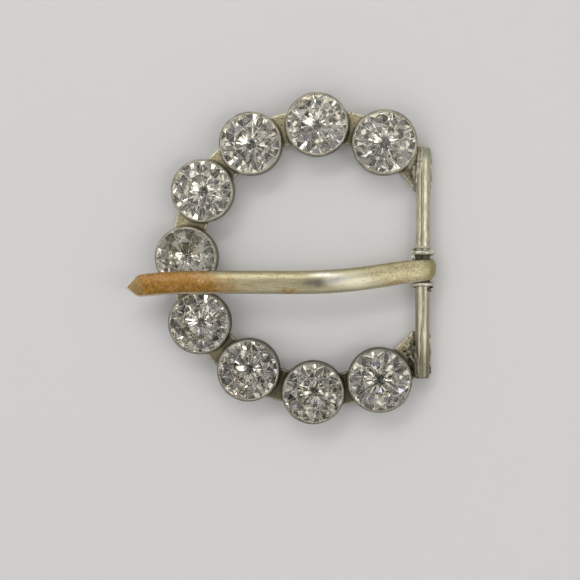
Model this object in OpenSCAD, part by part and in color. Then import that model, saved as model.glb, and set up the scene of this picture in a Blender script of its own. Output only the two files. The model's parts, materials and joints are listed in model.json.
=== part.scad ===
/* [Ring of cups] */
// Distance from the bar's middle to the ring's middle, across the opening
ring_reach = 18.1; // [17.6:0.1:18.6]
// How far the ring's middle lies from the bar's middle, along the bar
ring_shift = 0.8; // [0.4:0.1:1.2]
// Radius of the flat band's middle line
band_radius = 23.3; // [23:0.1:23.6]
// Width of the flat band
band_width = 5.6; // [5:0.1:6.2]
// Thickness of the band and of the plates at its two ends
band_thick = 1.2; // [1.1:0.05:1.3]

/* [Stones] */
// Girdle diameter of the seven stones away from the bar
stone_d = 10.3; // [9.9:0.1:10.4]
// Girdle diameter of the two stones beside the bar
end_stone_d = 10.6; // [10.2:0.1:10.7]
// Width of a stone's flat table, as a share of its girdle
table_share = 0.56; // [0.5:0.01:0.6]
// Slope of the main facets above the girdle
crown_angle = 28; // [25:1:29]
// Slope of the main facets below the girdle
pavilion_angle = 39; // [37:1:40]
// Height of the girdle's upright edge
girdle = 0.15; // [0.1:0.01:0.2]

/* [Cups] */
// Height of a cup's rim above the band
cup_height = 3.7; // [3.6:0.05:3.9]
// Thickness of a cup's wall
cup_wall = 0.25; // [0.2:0.01:0.35]
// Thickness of a cup's floor, which lies on the band
cup_floor = 0.4; // [0.3:0.05:0.6]
// Width of the ledge inside a cup that carries the girdle
ledge = 0.3; // [0.2:0.05:0.4]
// How far the rubbed-over lip reaches in over the girdle
lip_cover = 0.1; // [0.05:0.01:0.15]
// Clearance all round a stone in its cup
stone_gap = 0.05; // [0.04:0.01:0.08]

/* [Bar] */
// Diameter of the rolled bar
bar_d = 2.5; // [2.3:0.05:2.6]
// Length of the bar
bar_length = 39.8; // [39:0.1:40.4]
// Height of the bar's axis above the table
bar_lift = 2.4; // [2.38:0.01:2.45]
// Width of the open seam along the bar's top
seam = 0.4; // [0.3:0.02:0.5]

/* [Collars] */
// Wire diameter of the upper collar
upper_wire = 0.9; // [0.75:0.05:0.95]
// Wire diameter of the lower collar
lower_wire = 0.74; // [0.65:0.01:0.8]
// Clearance between the wire and the bar
wire_gap = 0.04; // [0.03:0.01:0.08]

/* [Tongue] */
// Clearance of the tongue's eye round the bar
eye_gap = 0.08; // [0.06:0.01:0.12]
// Thickness of the metal round the eye
eye_thick = 1.02; // [0.9:0.01:1.05]
// Width of the eye along the bar
eye_width = 3.82; // [3.6:0.02:3.9]
// Distance from the bar's axis to the tongue's point
tongue_reach = 51.45; // [50.5:0.05:52]
// Length of the tongue's V-shaped point
point_length = 2.5; // [2:0.1:3]

/* [Hidden] */
$fn = 64;

// Sizes that follow from the ones above
ring_middle = [-ring_reach, ring_shift];
bar_r = bar_d / 2;
rim_z = band_thick + cup_height;
girdle_depth = 0.22;
girdle_z = rim_z - girdle_depth;
band_overlap = 2.5;
cup_sink = 0.1;
cup_base_z = band_thick - cup_sink;
rim_round = 0.14;
lip_dip = 0.03;
seat_gap = 0.08;
culet_share = 0.06;
facet_turn = 22.5;
seam_depth = 0.25;
collar_side_gap = 0.1;
turn_gap = 0.02;
wire_sides = 12;
wire_step = 15;

// One row for each stone, from the bar's upper end round to its lower end:
// bearing from the ring's middle, distance from it, girdle diameter, turn of the facets
STONES = [
    [60.3, 23.00, end_stone_d, 8],
    [90.5, 23.12, stone_d, 31],
    [120.4, 23.05, stone_d, 17],
    [149.6, 23.22, stone_d, 3],
    [179.5, 22.90, stone_d, 26],
    [208.4, 23.44, stone_d, 12],
    [238.0, 22.81, stone_d, 38],
    [268.0, 23.22, stone_d, 21],
    [297.0, 23.55, end_stone_d, 35]
];

// Corners of the plate at each end of the band, from the bar's middle: across, along
UPPER_PLATE = [[-7.9, 18.6], [-3.85, 15.6], [-1.1, 12.6], [0.5, 11.9], [1.4, 12.8],
    [1.6, 15], [1.6, 18.8], [1.2, 20.2], [-1, 20.4], [-3, 22.2], [-5.2, 23.5]];
LOWER_PLATE = [[-8.8, -17.5], [-4.6, -14.9], [-1.3, -11.6], [0.5, -10.9], [1.4, -12.2],
    [1.65, -15], [1.55, -18.4], [1.1, -20], [-1.2, -20.1], [-3.4, -21.8], [-6.3, -22.5]];

// Runs of solder along the bar, from the bar's middle: place of the low end, length
SOLDER_BEDS = [[14.6, 4.6], [-18.6, 4.4]];
SOLDER_SLEEVES = [[13, 6.8], [-19.4, 7.1]];

// Section of a bed of solder, from the bar's axis: across, height
BED_SECTION = [[-2.7, band_thick - 0.1], [-0.8, band_thick - 0.1], [-0.8, bar_lift + 0.5],
    [-1.5, bar_lift - 0.4]];

// Thickness of the solder under the bar, and the heights between which it lies
sleeve_thick = 0.22;
sleeve_low = 0.5;
sleeve_high = bar_lift + 0.1;

// One row for each bend of the tongue's shank, from the bar out to the point:
// distance from the bar, place along the bar, height of the underside, width, thickness
SHANK = [
    [-6, -1.16, 2.87, 3.80, 0.96],
    [1, -1.16, 3.92, 3.80, 0.96],
    [3, -1.40, 4.23, 3.95, 1.15],
    [6, -1.90, 4.69, 4.16, 1.45],
    [12.5, -2.75, 5.68, 4.10, 1.60],
    [16, -3.05, 6.05, 4.12, 1.62],
    [21, -3.20, 6.08, 4.06, 1.62],
    [30, -3.15, 6.06, 4.00, 1.60],
    [42, -3.20, 6.06, 3.92, 1.56],
    [46, -3.55, 5.98, 4.00, 1.50],
    [49, -3.80, 5.78, 3.90, 1.36],
    [51.5, -4.12, 5.56, 3.80, 1.20],
    [58, -4.60, 4.98, 3.80, 1.20]
];

// Share of the half-round metal's thickness that its upright sides take
side_share = 0.28;

// What is left of the width and of the thickness at the very point
point_width_share = 0.06;
point_thick_share = 0.45;

// Bearing of the slit where the looped end stops short of the shank, and its width
slit_bearing = 28;
slit_width = 0.2;

// Half the eye's width with the clearance beside it
eye_side = eye_width / 2 + collar_side_gap;

// One row for each collar: bearing of the wire's first end round the bar, degrees wound,
// place of the first end along the bar, wire diameter, direction along the bar
COLLARS = [
    [200, 400, SHANK[0][1] + eye_side + upper_wire / 2, upper_wire, 1],
    [-30, 435, SHANK[0][1] - eye_side - lower_wire / 2, lower_wire, -1]
];

// The part stands on its flat back, with the middle of its outline at the origin
extent_x = [-tongue_reach, bar_r + eye_gap + eye_thick];
extent_y = [cup_xy(7)[1] - cup_r(7), cup_xy(1)[1] + cup_r(1)];
centre = [(extent_x[0] + extent_x[1]) / 2, (extent_y[0] + extent_y[1]) / 2];

function bearing(a, r) = [r * cos(a), r * sin(a)];
function stone_r(i) = STONES[i][2] / 2;
function bore_r(i) = stone_r(i) + stone_gap;
function cup_r(i) = bore_r(i) + cup_wall;
function cup_xy(i) = ring_middle + bearing(STONES[i][0], STONES[i][1]);
function sum(v, i = 0) = i < len(v) ? v[i] + sum(v, i + 1) : 0;

module placed() {
    translate([-centre[0], -centre[1], 0])
        children();
}

module at_cup(i) {
    translate([cup_xy(i)[0], cup_xy(i)[1], 0])
        children();
}

// Turns the Z axis to lie along the bar, with the bar's axis at its height
module about_bar(along = 0) {
    translate([0, along, bar_lift])
        rotate([-90, 0, 0])
            children();
}

// Flat band that runs under the cups, a little past the first and the last
module band() {
    first = STONES[0][0] - band_overlap;
    last = STONES[8][0] + band_overlap;
    far = 2 * band_radius;
    intersection() {
        translate([ring_middle[0], ring_middle[1], 0])
            difference() {
                cylinder(r = band_radius + band_width / 2, h = band_thick);
                translate([0, 0, -1])
                    cylinder(r = band_radius - band_width / 2, h = band_thick + 2);
            }
        translate([ring_middle[0], ring_middle[1], -1])
            linear_extrude(band_thick + 2)
                polygon(concat([[0, 0]], [for (k = [0:8])
                    bearing(first + (last - first) * k / 8, far)]));
    }
}

// Flared plates that carry the bar
module end_plates() {
    for (outline = [UPPER_PLATE, LOWER_PLATE]) {
        linear_extrude(band_thick)
            polygon(outline);
    }
}

// Solder between the bar and its plates: a bed at the bar's left and a sleeve under it
module solder() {
    for (run = SOLDER_BEDS) {
        translate([0, run[0] + run[1], 0])
            rotate([90, 0, 0])
                linear_extrude(run[1])
                    polygon(BED_SECTION);
    }
    for (run = SOLDER_SLEEVES) {
        intersection() {
            about_bar(run[0])
                cylinder(r = bar_r + sleeve_thick, h = run[1]);
            translate([-bar_d, run[0] - 1, sleeve_low])
                cube([2 * bar_d, run[1] + 2, sleeve_high - sleeve_low]);
        }
    }
}

// Rolled bar with its seam upwards
module bar() {
    difference() {
        about_bar(-bar_length / 2)
            cylinder(r = bar_r, h = bar_length);
        translate([-seam / 2, -bar_length, bar_lift + bar_r - seam_depth])
            cube([seam, 2 * bar_length, seam_depth + 1]);
    }
}

// Outside of one cup, with its lip rubbed over the stone
module cup(i) {
    r = cup_r(i);
    lip = stone_r(i) - lip_cover;
    at_cup(i)
        rotate_extrude()
            polygon([[0, cup_base_z], [r, cup_base_z], [r, rim_z - 2 * rim_round],
                [r - 0.3 * rim_round, rim_z - rim_round], [r - rim_round, rim_z],
                [lip, rim_z - lip_dip], [0, rim_z - lip_dip]]);
}

// Hollow in a cup that a stone sits in, with a ledge for its girdle and a dimple for its tip
module seat(i) {
    lip = stone_r(i) - lip_cover;
    hollow = stone_r(i) - ledge;
    low_z = girdle_z - girdle - seat_gap;
    tip_z = low_z - stone_r(i) * (1 - culet_share) * tan(pavilion_angle);
    tip = stone_r(i) * culet_share + stone_gap;
    floor_z = cup_base_z + cup_floor;
    at_cup(i)
        rotate_extrude()
            polygon([[0, tip_z], [tip, tip_z],
                [tip + (floor_z - tip_z) / tan(pavilion_angle), floor_z], [hollow, floor_z],
                [hollow, low_z - ledge * tan(pavilion_angle)], [bore_r(i), low_z],
                [bore_r(i), girdle_z + stone_gap], [lip, girdle_z + 2 * stone_gap],
                [lip, rim_z + 1], [0, rim_z + 1]]);
}

// All the soldered metal in one: band, cups, plates, solder and bar
module frame() {
    color("#b3aa97")
        placed()
            difference() {
                union() {
                    band();
                    end_plates();
                    solder();
                    bar();
                    for (i = [0:8]) {
                        cup(i);
                    }
                }
                for (i = [0:8]) {
                    seat(i);
                }
            }
}

// Points of a round brilliant: table, star points, both edges of the girdle, pavilion, culet
function ring_of(n, first, r, z) = [for (k = [0:n - 1])
    let (a = first + 360 * k / n) [r * cos(a), r * sin(a), z]];

function brilliant_points(r) =
    let (table_r = r * table_share,
        star_r = (table_r * cos(facet_turn) + r) / 2,
        low_r = 0.22 * r,
        culet_r = culet_share * r,
        rise = tan(crown_angle),
        fall = tan(pavilion_angle),
        low_z = girdle_z - girdle)
    concat(ring_of(8, 0, table_r, girdle_z + (r - table_r) * rise),
        ring_of(8, facet_turn, star_r, girdle_z + (r - star_r * cos(facet_turn)) * rise),
        ring_of(16, 0, r, girdle_z),
        ring_of(16, 0, r, low_z),
        ring_of(8, facet_turn, low_r, low_z - (r - low_r * cos(facet_turn)) * fall),
        ring_of(8, facet_turn, culet_r, low_z - (r - culet_r * cos(facet_turn)) * fall));

// Faces of the brilliant, by the place where each ring of its points starts
function brilliant_faces(star = 8, top = 16, low = 32, main = 48, culet = 56) = concat(
    [[for (k = [7:-1:0]) k]],
    [for (k = [0:7]) [k, (k + 1) % 8, star + k]],
    [for (k = [0:7]) [k, star + k, top + 2 * k, star + (k + 7) % 8]],
    [for (k = [0:7]) [star + k, top + 2 * k + 1, top + 2 * k]],
    [for (k = [0:7]) [star + k, top + (2 * k + 2) % 16, top + 2 * k + 1]],
    [for (j = [0:15]) [top + j, top + (j + 1) % 16, low + (j + 1) % 16, low + j]],
    [for (k = [0:7]) [low + 2 * k, low + 2 * k + 1, main + k]],
    [for (k = [0:7]) [low + 2 * k + 1, low + (2 * k + 2) % 16, main + k]],
    [for (k = [0:7]) [low + 2 * k, main + k, culet + k, culet + (k + 7) % 8,
        main + (k + 7) % 8]],
    [[for (k = [0:7]) culet + k]]);

// Clear round stone with a table, 32 facets above the girdle and 24 below it
module stone(i) {
    color("#e4e6ea")
        placed()
            at_cup(i)
                rotate([0, 0, STONES[i][3]])
                    polyhedron(brilliant_points(stone_r(i)), brilliant_faces());
}

// Closed tube through rings of points, each ring with the same number of points
module skin(rings) {
    n = len(rings[0]);
    last = len(rings) - 1;
    polyhedron([for (ring = rings) for (p = ring) p],
        concat([[for (k = [0:n - 1]) k]],
            [for (j = [0:last - 1]) for (k = [0:n - 1])
                [j * n + k, (j + 1) * n + k, (j + 1) * n + (k + 1) % n, j * n + (k + 1) % n]],
            [[for (k = [n - 1:-1:0]) last * n + k]]));
}

// Wire wound round the bar beside the tongue's eye
module collar(c) {
    wire = COLLARS[c][3];
    coil_r = bar_r + wire_gap + wire / 2;
    pitch = wire + turn_gap;
    steps = ceil(COLLARS[c][1] / wire_step);
    about = [for (j = [0:steps])
        let (a = COLLARS[c][0] + COLLARS[c][1] * j / steps,
            y = COLLARS[c][2] + COLLARS[c][4] * pitch * COLLARS[c][1] * j / steps / 360)
        [for (k = [0:wire_sides - 1])
            let (b = 360 * k / wire_sides,
                r = coil_r + wire / 2 * cos(b))
            [r * cos(a), y + wire / 2 * sin(b), bar_lift + r * sin(a)]]];
    color("#b9b6ad")
        placed()
            skin(about);
}

// Section of the half-round metal: flat below, with a low side and a domed top
function half_round(w, t, bevel = 0.12) =
    let (flat = w / 2 - min(bevel, w / 4))
    concat([[flat, 0], [w / 2, bevel]],
        [for (k = [0:12])
            [w / 2 * cos(15 * k), t * (side_share + (1 - side_share) * sin(15 * k))]],
        [[-w / 2, bevel], [-flat, 0]]);

// A column of the shank's table at a distance from the bar, smoothed over a few millimetres
function column(c) = [for (row = SHANK) [row[0], row[c]]];
function along(s, c) = sum([for (d = [-2:1:2]) lookup(s + d * 1.1, column(c))]) / 5;

// One section across the shank, narrowed and thinned over the length of the point
function shank_ring(s) =
    let (left = (tongue_reach - s) / point_length,
        narrow = max(point_width_share, min(1, left)),
        thin = min(1, point_thick_share + left))
    [for (p = half_round(along(s, 3) * narrow, along(s, 4) * thin))
        [-s, along(s, 1) - p[0], along(s, 2) + p[1]]];

// Half-round tongue, looped round the bar at one end and pointed at the other
module tongue() {
    shoulder = tongue_reach - point_length;
    eye_r = bar_r + eye_gap;
    stops = concat([for (s = [0:1.2:shoulder - 0.6]) s], [shoulder],
        [for (k = [1:4]) shoulder + point_length * k / 4]);
    color("#bdb594")
        placed()
            difference() {
                union() {
                    about_bar(SHANK[0][1])
                        rotate_extrude()
                            polygon([for (p = half_round(eye_width, eye_thick))
                                [eye_r + p[1], p[0]]]);
                    skin([for (s = stops) shank_ring(s)]);
                }
                // The slit, cut through the loop's metal
                translate([0, SHANK[0][1], bar_lift])
                    rotate([0, slit_bearing, 0])
                        translate([-eye_r - 1.5, -eye_width, -slit_width / 2])
                            cube([1.7, 2 * eye_width, slit_width]);
            }
}

frame();
stone(0);  // stone_1
stone(1);  // stone_2
stone(2);  // stone_3
stone(3);  // stone_4
stone(4);  // stone_5
stone(5);  // stone_6
stone(6);  // stone_7
stone(7);  // stone_8
stone(8);  // stone_9
collar(0);  // collar_upper
collar(1);  // collar_lower
tongue();
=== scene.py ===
"""Paste-set dress buckle: nine cupped stones in a horseshoe, a rolled bar and a swinging tongue."""

import json
import math
from contextlib import contextmanager
from functools import cached_property, reduce

import bmesh
import bpy
from bpy.props import FloatProperty, FloatVectorProperty, IntProperty, PointerProperty
from bpy.types import Operator, Panel, PropertyGroup
from mathutils import Matrix, Vector, noise


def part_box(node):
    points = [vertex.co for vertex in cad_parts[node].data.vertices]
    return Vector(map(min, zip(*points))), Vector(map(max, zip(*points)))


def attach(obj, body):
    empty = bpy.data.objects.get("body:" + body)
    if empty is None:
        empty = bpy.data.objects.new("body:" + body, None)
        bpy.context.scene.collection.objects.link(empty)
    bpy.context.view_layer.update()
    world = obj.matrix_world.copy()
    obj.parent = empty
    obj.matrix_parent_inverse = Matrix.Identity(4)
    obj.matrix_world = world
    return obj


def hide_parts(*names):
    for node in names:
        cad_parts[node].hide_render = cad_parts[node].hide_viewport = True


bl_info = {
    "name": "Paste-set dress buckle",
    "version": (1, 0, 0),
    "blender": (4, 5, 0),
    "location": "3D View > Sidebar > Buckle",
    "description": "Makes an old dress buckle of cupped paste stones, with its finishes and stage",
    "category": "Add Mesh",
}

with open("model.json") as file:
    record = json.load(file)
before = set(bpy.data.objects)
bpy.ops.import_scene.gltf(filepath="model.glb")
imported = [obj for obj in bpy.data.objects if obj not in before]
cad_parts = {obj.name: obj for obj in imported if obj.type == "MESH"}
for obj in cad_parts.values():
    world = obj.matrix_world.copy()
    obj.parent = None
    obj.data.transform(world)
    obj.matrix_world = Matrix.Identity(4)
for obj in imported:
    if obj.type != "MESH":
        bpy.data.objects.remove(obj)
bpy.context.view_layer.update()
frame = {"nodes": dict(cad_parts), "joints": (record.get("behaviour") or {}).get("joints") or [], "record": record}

MM = 0.001
STONES = [f"stone_{number}" for number in range(1, 10)]
HINGE = next(joint for joint in frame["joints"] if joint["name"] == "tongue_hinge")
STRAP_BAR = next(mount for mount in frame["record"]["mounts"] if mount["name"] == "strap_bar")
BAR_MIDDLE = Vector(HINGE["pos_m"])
BAR_RADIUS = STRAP_BAR["dims"]["r_mm"] * MM
RIM_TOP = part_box("frame")[1].z
# Room round a stone's tip, the tip's own radius and the slope of the facets that lead to it
TIP_GAP = 0.05 * MM
TIP_RADIUS = 0.32 * MM
PAVILION = math.radians(39)
CONE_SIDES = 32
# How far apart the three noises lie that make up one small direction
DRIFT_SHIFTS = ((11.3, 0.0, 0.0), (0.0, 17.9, 0.0), (0.0, 0.0, 23.1))
# Burnt hollows beside the bar's ends, from the bar's middle in mm: across, along, reach
BURNT_SPOTS = ((-2.9, -15.4, 0.4), (-2.5, -16.0, 0.5), (-1.95, -16.9, 0.6), (-1.65, -18.3, 0.9),
               (-1.6, -14.6, 0.5), (-2.35, 17.3, 0.4), (-3.0, 16.3, 0.35), (-1.9, 15.2, 0.4))
PASTE_INDEX = 1.58
# Points of the back's outline that lie closer together than this are left out
SHORTEST_SIDE = 0.12 * MM
# Points of the CAD frame this close to the height of its back belong to the back
LEVEL_WITHIN = 0.001 * MM
# A sharp corner of a line that is drawn in moves by at most the distance over this
LEAST_LEAN = 0.6
# Size of the waves of the strip's hand-cut edge
EDGE_WAVE = 1.3 * MM
# The seam's place off the bar's top, in mm, and how far over it swings from there
SEAM_REST = -0.2
SEAM_SWING = 0.36
# Where along the bar the swing lies, in mm, and how far from there it is full and is gone
SWING_AT = -6.4
SWING_REACH = (1.5, 6.5)


class BuckleSizes(PropertyGroup):
    """Sizes of the buckle's details."""

    strip_thick: FloatProperty(
        name="Strip thickness", description="Thickness of the flat strip and its end plates",
        default=1.2 * MM, min=1.0 * MM, max=1.4 * MM, unit="LENGTH", precision=5)
    strip_bevel: FloatProperty(
        name="Strip edge", description="Width of the worn bevel along the strip's edges",
        default=0.13 * MM, min=0.05 * MM, max=0.2 * MM, unit="LENGTH", precision=5)
    cup_wall: FloatProperty(
        name="Cup wall", description="Thickness of a cup's wall with the clearance inside it",
        default=0.3 * MM, min=0.25 * MM, max=0.4 * MM, unit="LENGTH", precision=5)
    lip_cover: FloatProperty(
        name="Lip cover", description="How far a cup's lip reaches in over its stone",
        default=0.14 * MM, min=0.05 * MM, max=0.16 * MM, unit="LENGTH", precision=5)
    bar_length: FloatProperty(
        name="Bar length", description="Length of the rolled bar",
        default=39.8 * MM, min=39 * MM, max=40.4 * MM, unit="LENGTH", precision=5)
    seam_width: FloatProperty(
        name="Seam width", description="Width of the open seam along the bar's top",
        default=0.44 * MM, min=0.3 * MM, max=0.5 * MM, unit="LENGTH", precision=5)
    seam_depth: FloatProperty(
        name="Seam depth", description="Depth of the seam along the bar's top",
        default=0.12 * MM, min=0.05 * MM, max=0.3 * MM, unit="LENGTH", precision=5)
    edge_wear: FloatProperty(
        name="Edge wear", description="Width of the rubbed edges between a stone's upper facets",
        default=0.048 * MM, min=0.01 * MM, max=0.1 * MM, unit="LENGTH", precision=5)
    facet_stray: FloatProperty(
        name="Facet stray", description="How far the corners of the hand-cut facets stray",
        default=0.028 * MM, min=0.0, max=0.05 * MM, unit="LENGTH", precision=5)
    point_bevel: FloatProperty(
        name="Point bevel", description="Width of the filed bevel along the tongue's point",
        default=0.40 * MM, min=0.1 * MM, max=0.6 * MM, unit="LENGTH", precision=5)
    unevenness: FloatProperty(
        name="Unevenness", description="How far the hand-worked metal strays from true",
        default=0.03 * MM, min=0.0, max=0.06 * MM, unit="LENGTH", precision=5)
    seed: IntProperty(
        name="Seed", description="Picks another set of small dents and wear",
        default=7, min=0)


class BuckleColours(PropertyGroup):
    """Colours of the buckle's metals, its stain and its stones."""

    strip: FloatVectorProperty(
        name="Strip", description="Warm dull metal of the flat strip",
        subtype="COLOR", size=4, default=(0.61, 0.54, 0.335, 1), min=0, max=1)
    cup: FloatVectorProperty(
        name="Cups", description="Metal of the cups and their lips",
        subtype="COLOR", size=4, default=(0.47, 0.435, 0.34, 1), min=0, max=1)
    bar: FloatVectorProperty(
        name="Bar", description="Metal of the rolled bar",
        subtype="COLOR", size=4, default=(0.87, 0.805, 0.60, 1), min=0, max=1)
    solder: FloatVectorProperty(
        name="Solder", description="Lumpy solder at the joints of the bar",
        subtype="COLOR", size=4, default=(0.72, 0.67, 0.54, 1), min=0, max=1)
    wire: FloatVectorProperty(
        name="Wire", description="Metal of the wound collars",
        subtype="COLOR", size=4, default=(0.63, 0.60, 0.49, 1), min=0, max=1)
    tongue: FloatVectorProperty(
        name="Tongue", description="Pale yellowish metal of the tongue",
        subtype="COLOR", size=4, default=(0.59, 0.525, 0.325, 1), min=0, max=1)
    # Dark film in pits, and also the colour of the painted shade beside the cups and under the strip and the bar
    tarnish_and_shade: FloatVectorProperty(
        name="Tarnish", description="Dark film in corners and pits",
        subtype="COLOR", size=4, default=(0.045, 0.04, 0.028, 1), min=0, max=1)
    stain: FloatVectorProperty(
        name="Stain", description="Orange-brown stain at the tongue's point",
        subtype="COLOR", size=4, default=(0.42, 0.205, 0.03, 1), min=0, max=1)
    foil: FloatVectorProperty(
        name="Foil", description="Silvery foil behind the stones",
        subtype="COLOR", size=4, default=(0.95, 0.93, 0.875, 1), min=0, max=1)


class BuckleStage(PropertyGroup):
    """Camera, light and floor."""

    distance: FloatProperty(
        name="Distance", description="Distance from the camera to the buckle",
        default=200 * MM, min=100 * MM, max=500 * MM, unit="LENGTH")
    tilt: FloatProperty(
        name="Tilt", description="Angle between the camera's line of sight and the upright",
        default=math.radians(4.26), subtype="ANGLE")
    bearing: FloatProperty(
        name="Bearing", description="Direction that the camera leans towards",
        default=math.radians(37.6), subtype="ANGLE")
    lens: FloatProperty(
        name="Lens", description="Focal length on a 36 mm sensor, in millimetres",
        default=71.13, min=20, max=200)
    floor: FloatVectorProperty(
        name="Floor", description="Plain pale floor",
        subtype="COLOR", size=4, default=(0.80, 0.79, 0.77, 1), min=0, max=1)
    brightness: FloatProperty(
        name="Brightness", description="Strength of all the lamps together",
        default=1.0, min=0.1, max=5)


def size_settings():
    return bpy.context.scene.buckle_sizes


class Wire:
    """A number in a node tree. Sums and products of wires add the Math nodes they need."""

    def __init__(self, recipe, socket):
        self.recipe = recipe
        self.socket = socket

    def also(self, name):
        """Another output of the same node."""
        return Wire(self.recipe, self.socket.node.outputs[name])

    def __add__(self, other):
        return self.recipe.math("ADD", self, other)

    def __radd__(self, other):
        return self.recipe.math("ADD", other, self)

    def __sub__(self, other):
        return self.recipe.math("SUBTRACT", self, other)

    def __rsub__(self, other):
        return self.recipe.math("SUBTRACT", other, self)

    def __mul__(self, other):
        return self.recipe.math("MULTIPLY", self, other)

    def __rmul__(self, other):
        return self.recipe.math("MULTIPLY", other, self)

    def __truediv__(self, other):
        return self.recipe.math("DIVIDE", self, other)

    def __rtruediv__(self, other):
        return self.recipe.math("DIVIDE", other, self)

    def __abs__(self):
        return self.recipe.math("ABSOLUTE", self)


class Recipe:
    """A node tree while it is written, for a finish or for a shape."""

    def __init__(self, tree):
        self.tree = tree
        tree.nodes.clear()

    def add(self, kind, settings=None, values=None, out=0):
        """Adds a node, sets it, then feeds its sockets, and gives one of its outputs."""
        node = self.tree.nodes.new(kind)
        for name, setting in (settings or {}).items():
            setattr(node, name, setting)
        for name, value in (values or {}).items():
            if isinstance(value, Wire):
                self.tree.links.new(value.socket, node.inputs[name])
            else:
                node.inputs[name].default_value = value
        return Wire(self, node.outputs[out]) if len(node.outputs) else None

    def math(self, operation, *values):
        """A Math node on one, two or three values."""
        return self.add("ShaderNodeMath", {"operation": operation}, dict(enumerate(values)))

    def most(self, *values):
        """The greatest of several numbers."""
        return reduce(lambda one, two: self.math("MAXIMUM", one, two), values)

    def step(self, value, low, high):
        """Rises smoothly from 0 to 1 as a value goes from low to high, or falls if low is more."""
        if low > high:
            return 1 - self.step(value, high, low)
        return self.add("ShaderNodeMapRange", {"interpolation_type": "SMOOTHSTEP"}, {
            "Value": value, "From Min": low, "From Max": high})

    def mix(self, amount, first, second):
        """A colour between two others."""
        wire = self.add("ShaderNodeMix", {"data_type": "RGBA"}, {0: amount, 6: first, 7: second})
        return Wire(self, wire.socket.node.outputs[2])

    def vector(self, operation, *values, out=0):
        """A Vector Math node on vectors."""
        return self.add("ShaderNodeVectorMath", {"operation": operation},
                        dict(enumerate(values)), out)

    def split(self, place):
        """The three coordinates of a place."""
        parts = self.add("ShaderNodeSeparateXYZ", {}, {0: place}, "X")
        return parts, parts.also("Y"), parts.also("Z")


class Finish(Recipe):
    """A material while it is written. Its lengths are in millimetres."""

    # How far from its middle a spot begins and is full, as shares of its size
    SPOT_EDGE = 0.36
    SPOT_CORE = 0.12

    def __init__(self, name):
        self.material = bpy.data.materials.new(name)
        self.material.use_nodes = True
        super().__init__(self.material.node_tree)
        self.colours = bpy.context.scene.buckle_colours
        self.place = self.add("ShaderNodeTexCoord", out="Object")

    @cached_property
    def here(self):
        """The place from the bar's middle, in millimetres."""
        return self.vector("MULTIPLY_ADD", self.place, (1 / MM,) * 3, -BAR_MIDDLE / MM)

    def attribute(self, name):
        """A number that the mesh holds."""
        return self.add("ShaderNodeAttribute", {"attribute_name": name}, out="Fac")

    def noise(self, size, detail=3.0, rough=0.55, stretch=(1, 1, 1)):
        """Cloudy noise from 0 to 1 with marks of about a size, drawn out along an axis."""
        spread = self.vector("MULTIPLY", self.place, [1 / (size * MM * each) for each in stretch])
        return self.add("ShaderNodeTexNoise", {}, {
            "Vector": spread, "Scale": 1.0, "Detail": detail, "Roughness": rough})

    def spots(self, size, share, shift=0.0):
        """Round spots of about a size, 1 in the middle, that only a share of the cells hold."""
        moved = self.vector("MULTIPLY_ADD", self.place, (1 / (size * MM),) * 3, (shift,) * 3)
        cells = self.add("ShaderNodeTexVoronoi", {"feature": "F1"}, {
            "Vector": moved, "Scale": 1.0, "Randomness": 1.0}, "Distance")
        pick = self.add("ShaderNodeSeparateColor", {}, {"Color": cells.also("Color")}, "Red")
        spot = self.step(cells, self.SPOT_EDGE, self.SPOT_CORE)
        return spot * self.step(pick, share, share - 0.02)

    def near(self, point, inner, outer, place=None):
        """1 within a distance of a point, fading to 0 at an outer distance."""
        return self.step(self.vector("DISTANCE", place or self.here, point, out="Value"),
                         outer, inner)

    def layers(self, base, *coats):
        """A colour under coats of others. A coat is an amount, a colour and, if any, its shade."""
        base = shade(base)
        for amount, *paint in coats:
            base = self.mix(amount, base, shade(*paint))
        return base

    def close(self, values, bump=None, depth=0.0):
        """Ends the finish in a Principled surface, with a bump of a depth."""
        if bump is not None:
            values["Normal"] = self.add("ShaderNodeBump", {}, {
                "Height": bump, "Distance": depth * MM, "Strength": 1.0})
        surface = self.add("ShaderNodeBsdfPrincipled", {}, values)
        self.add("ShaderNodeOutputMaterial", {}, {"Surface": surface})


def shade(paint, factor=1.0):
    """A colour made darker or lighter. One that comes from a node stays as it is."""
    if isinstance(paint, Wire):
        return paint
    return (*[min(1.0, part * factor) for part in paint[:3]], 1)


def beside_cups(paint):
    """Distance from the wall of the nearest cup, measured from its middle on the strip."""
    sizes = size_settings()
    gaps = []
    for name in STONES:
        middle, radius = stone_place(name)
        foot = (Vector((middle.x, middle.y, sizes.strip_thick)) - BAR_MIDDLE) / MM
        wall = (radius + sizes.cup_wall) / MM
        gaps.append(paint.vector("DISTANCE", paint.here, foot, out="Value") - wall)
    return reduce(lambda one, two: paint.math("MINIMUM", one, two), gaps)


def seam_shift(recipe, along, unit=1.0):
    """How far the bar's seam lies from its top, by the place along it. The unit is a millimetre."""
    full, gone = (reach * unit for reach in SWING_REACH)
    swing = recipe.step(abs(along - SWING_AT * unit), gone, full)
    return SEAM_SWING * unit * swing + SEAM_REST * unit


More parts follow.
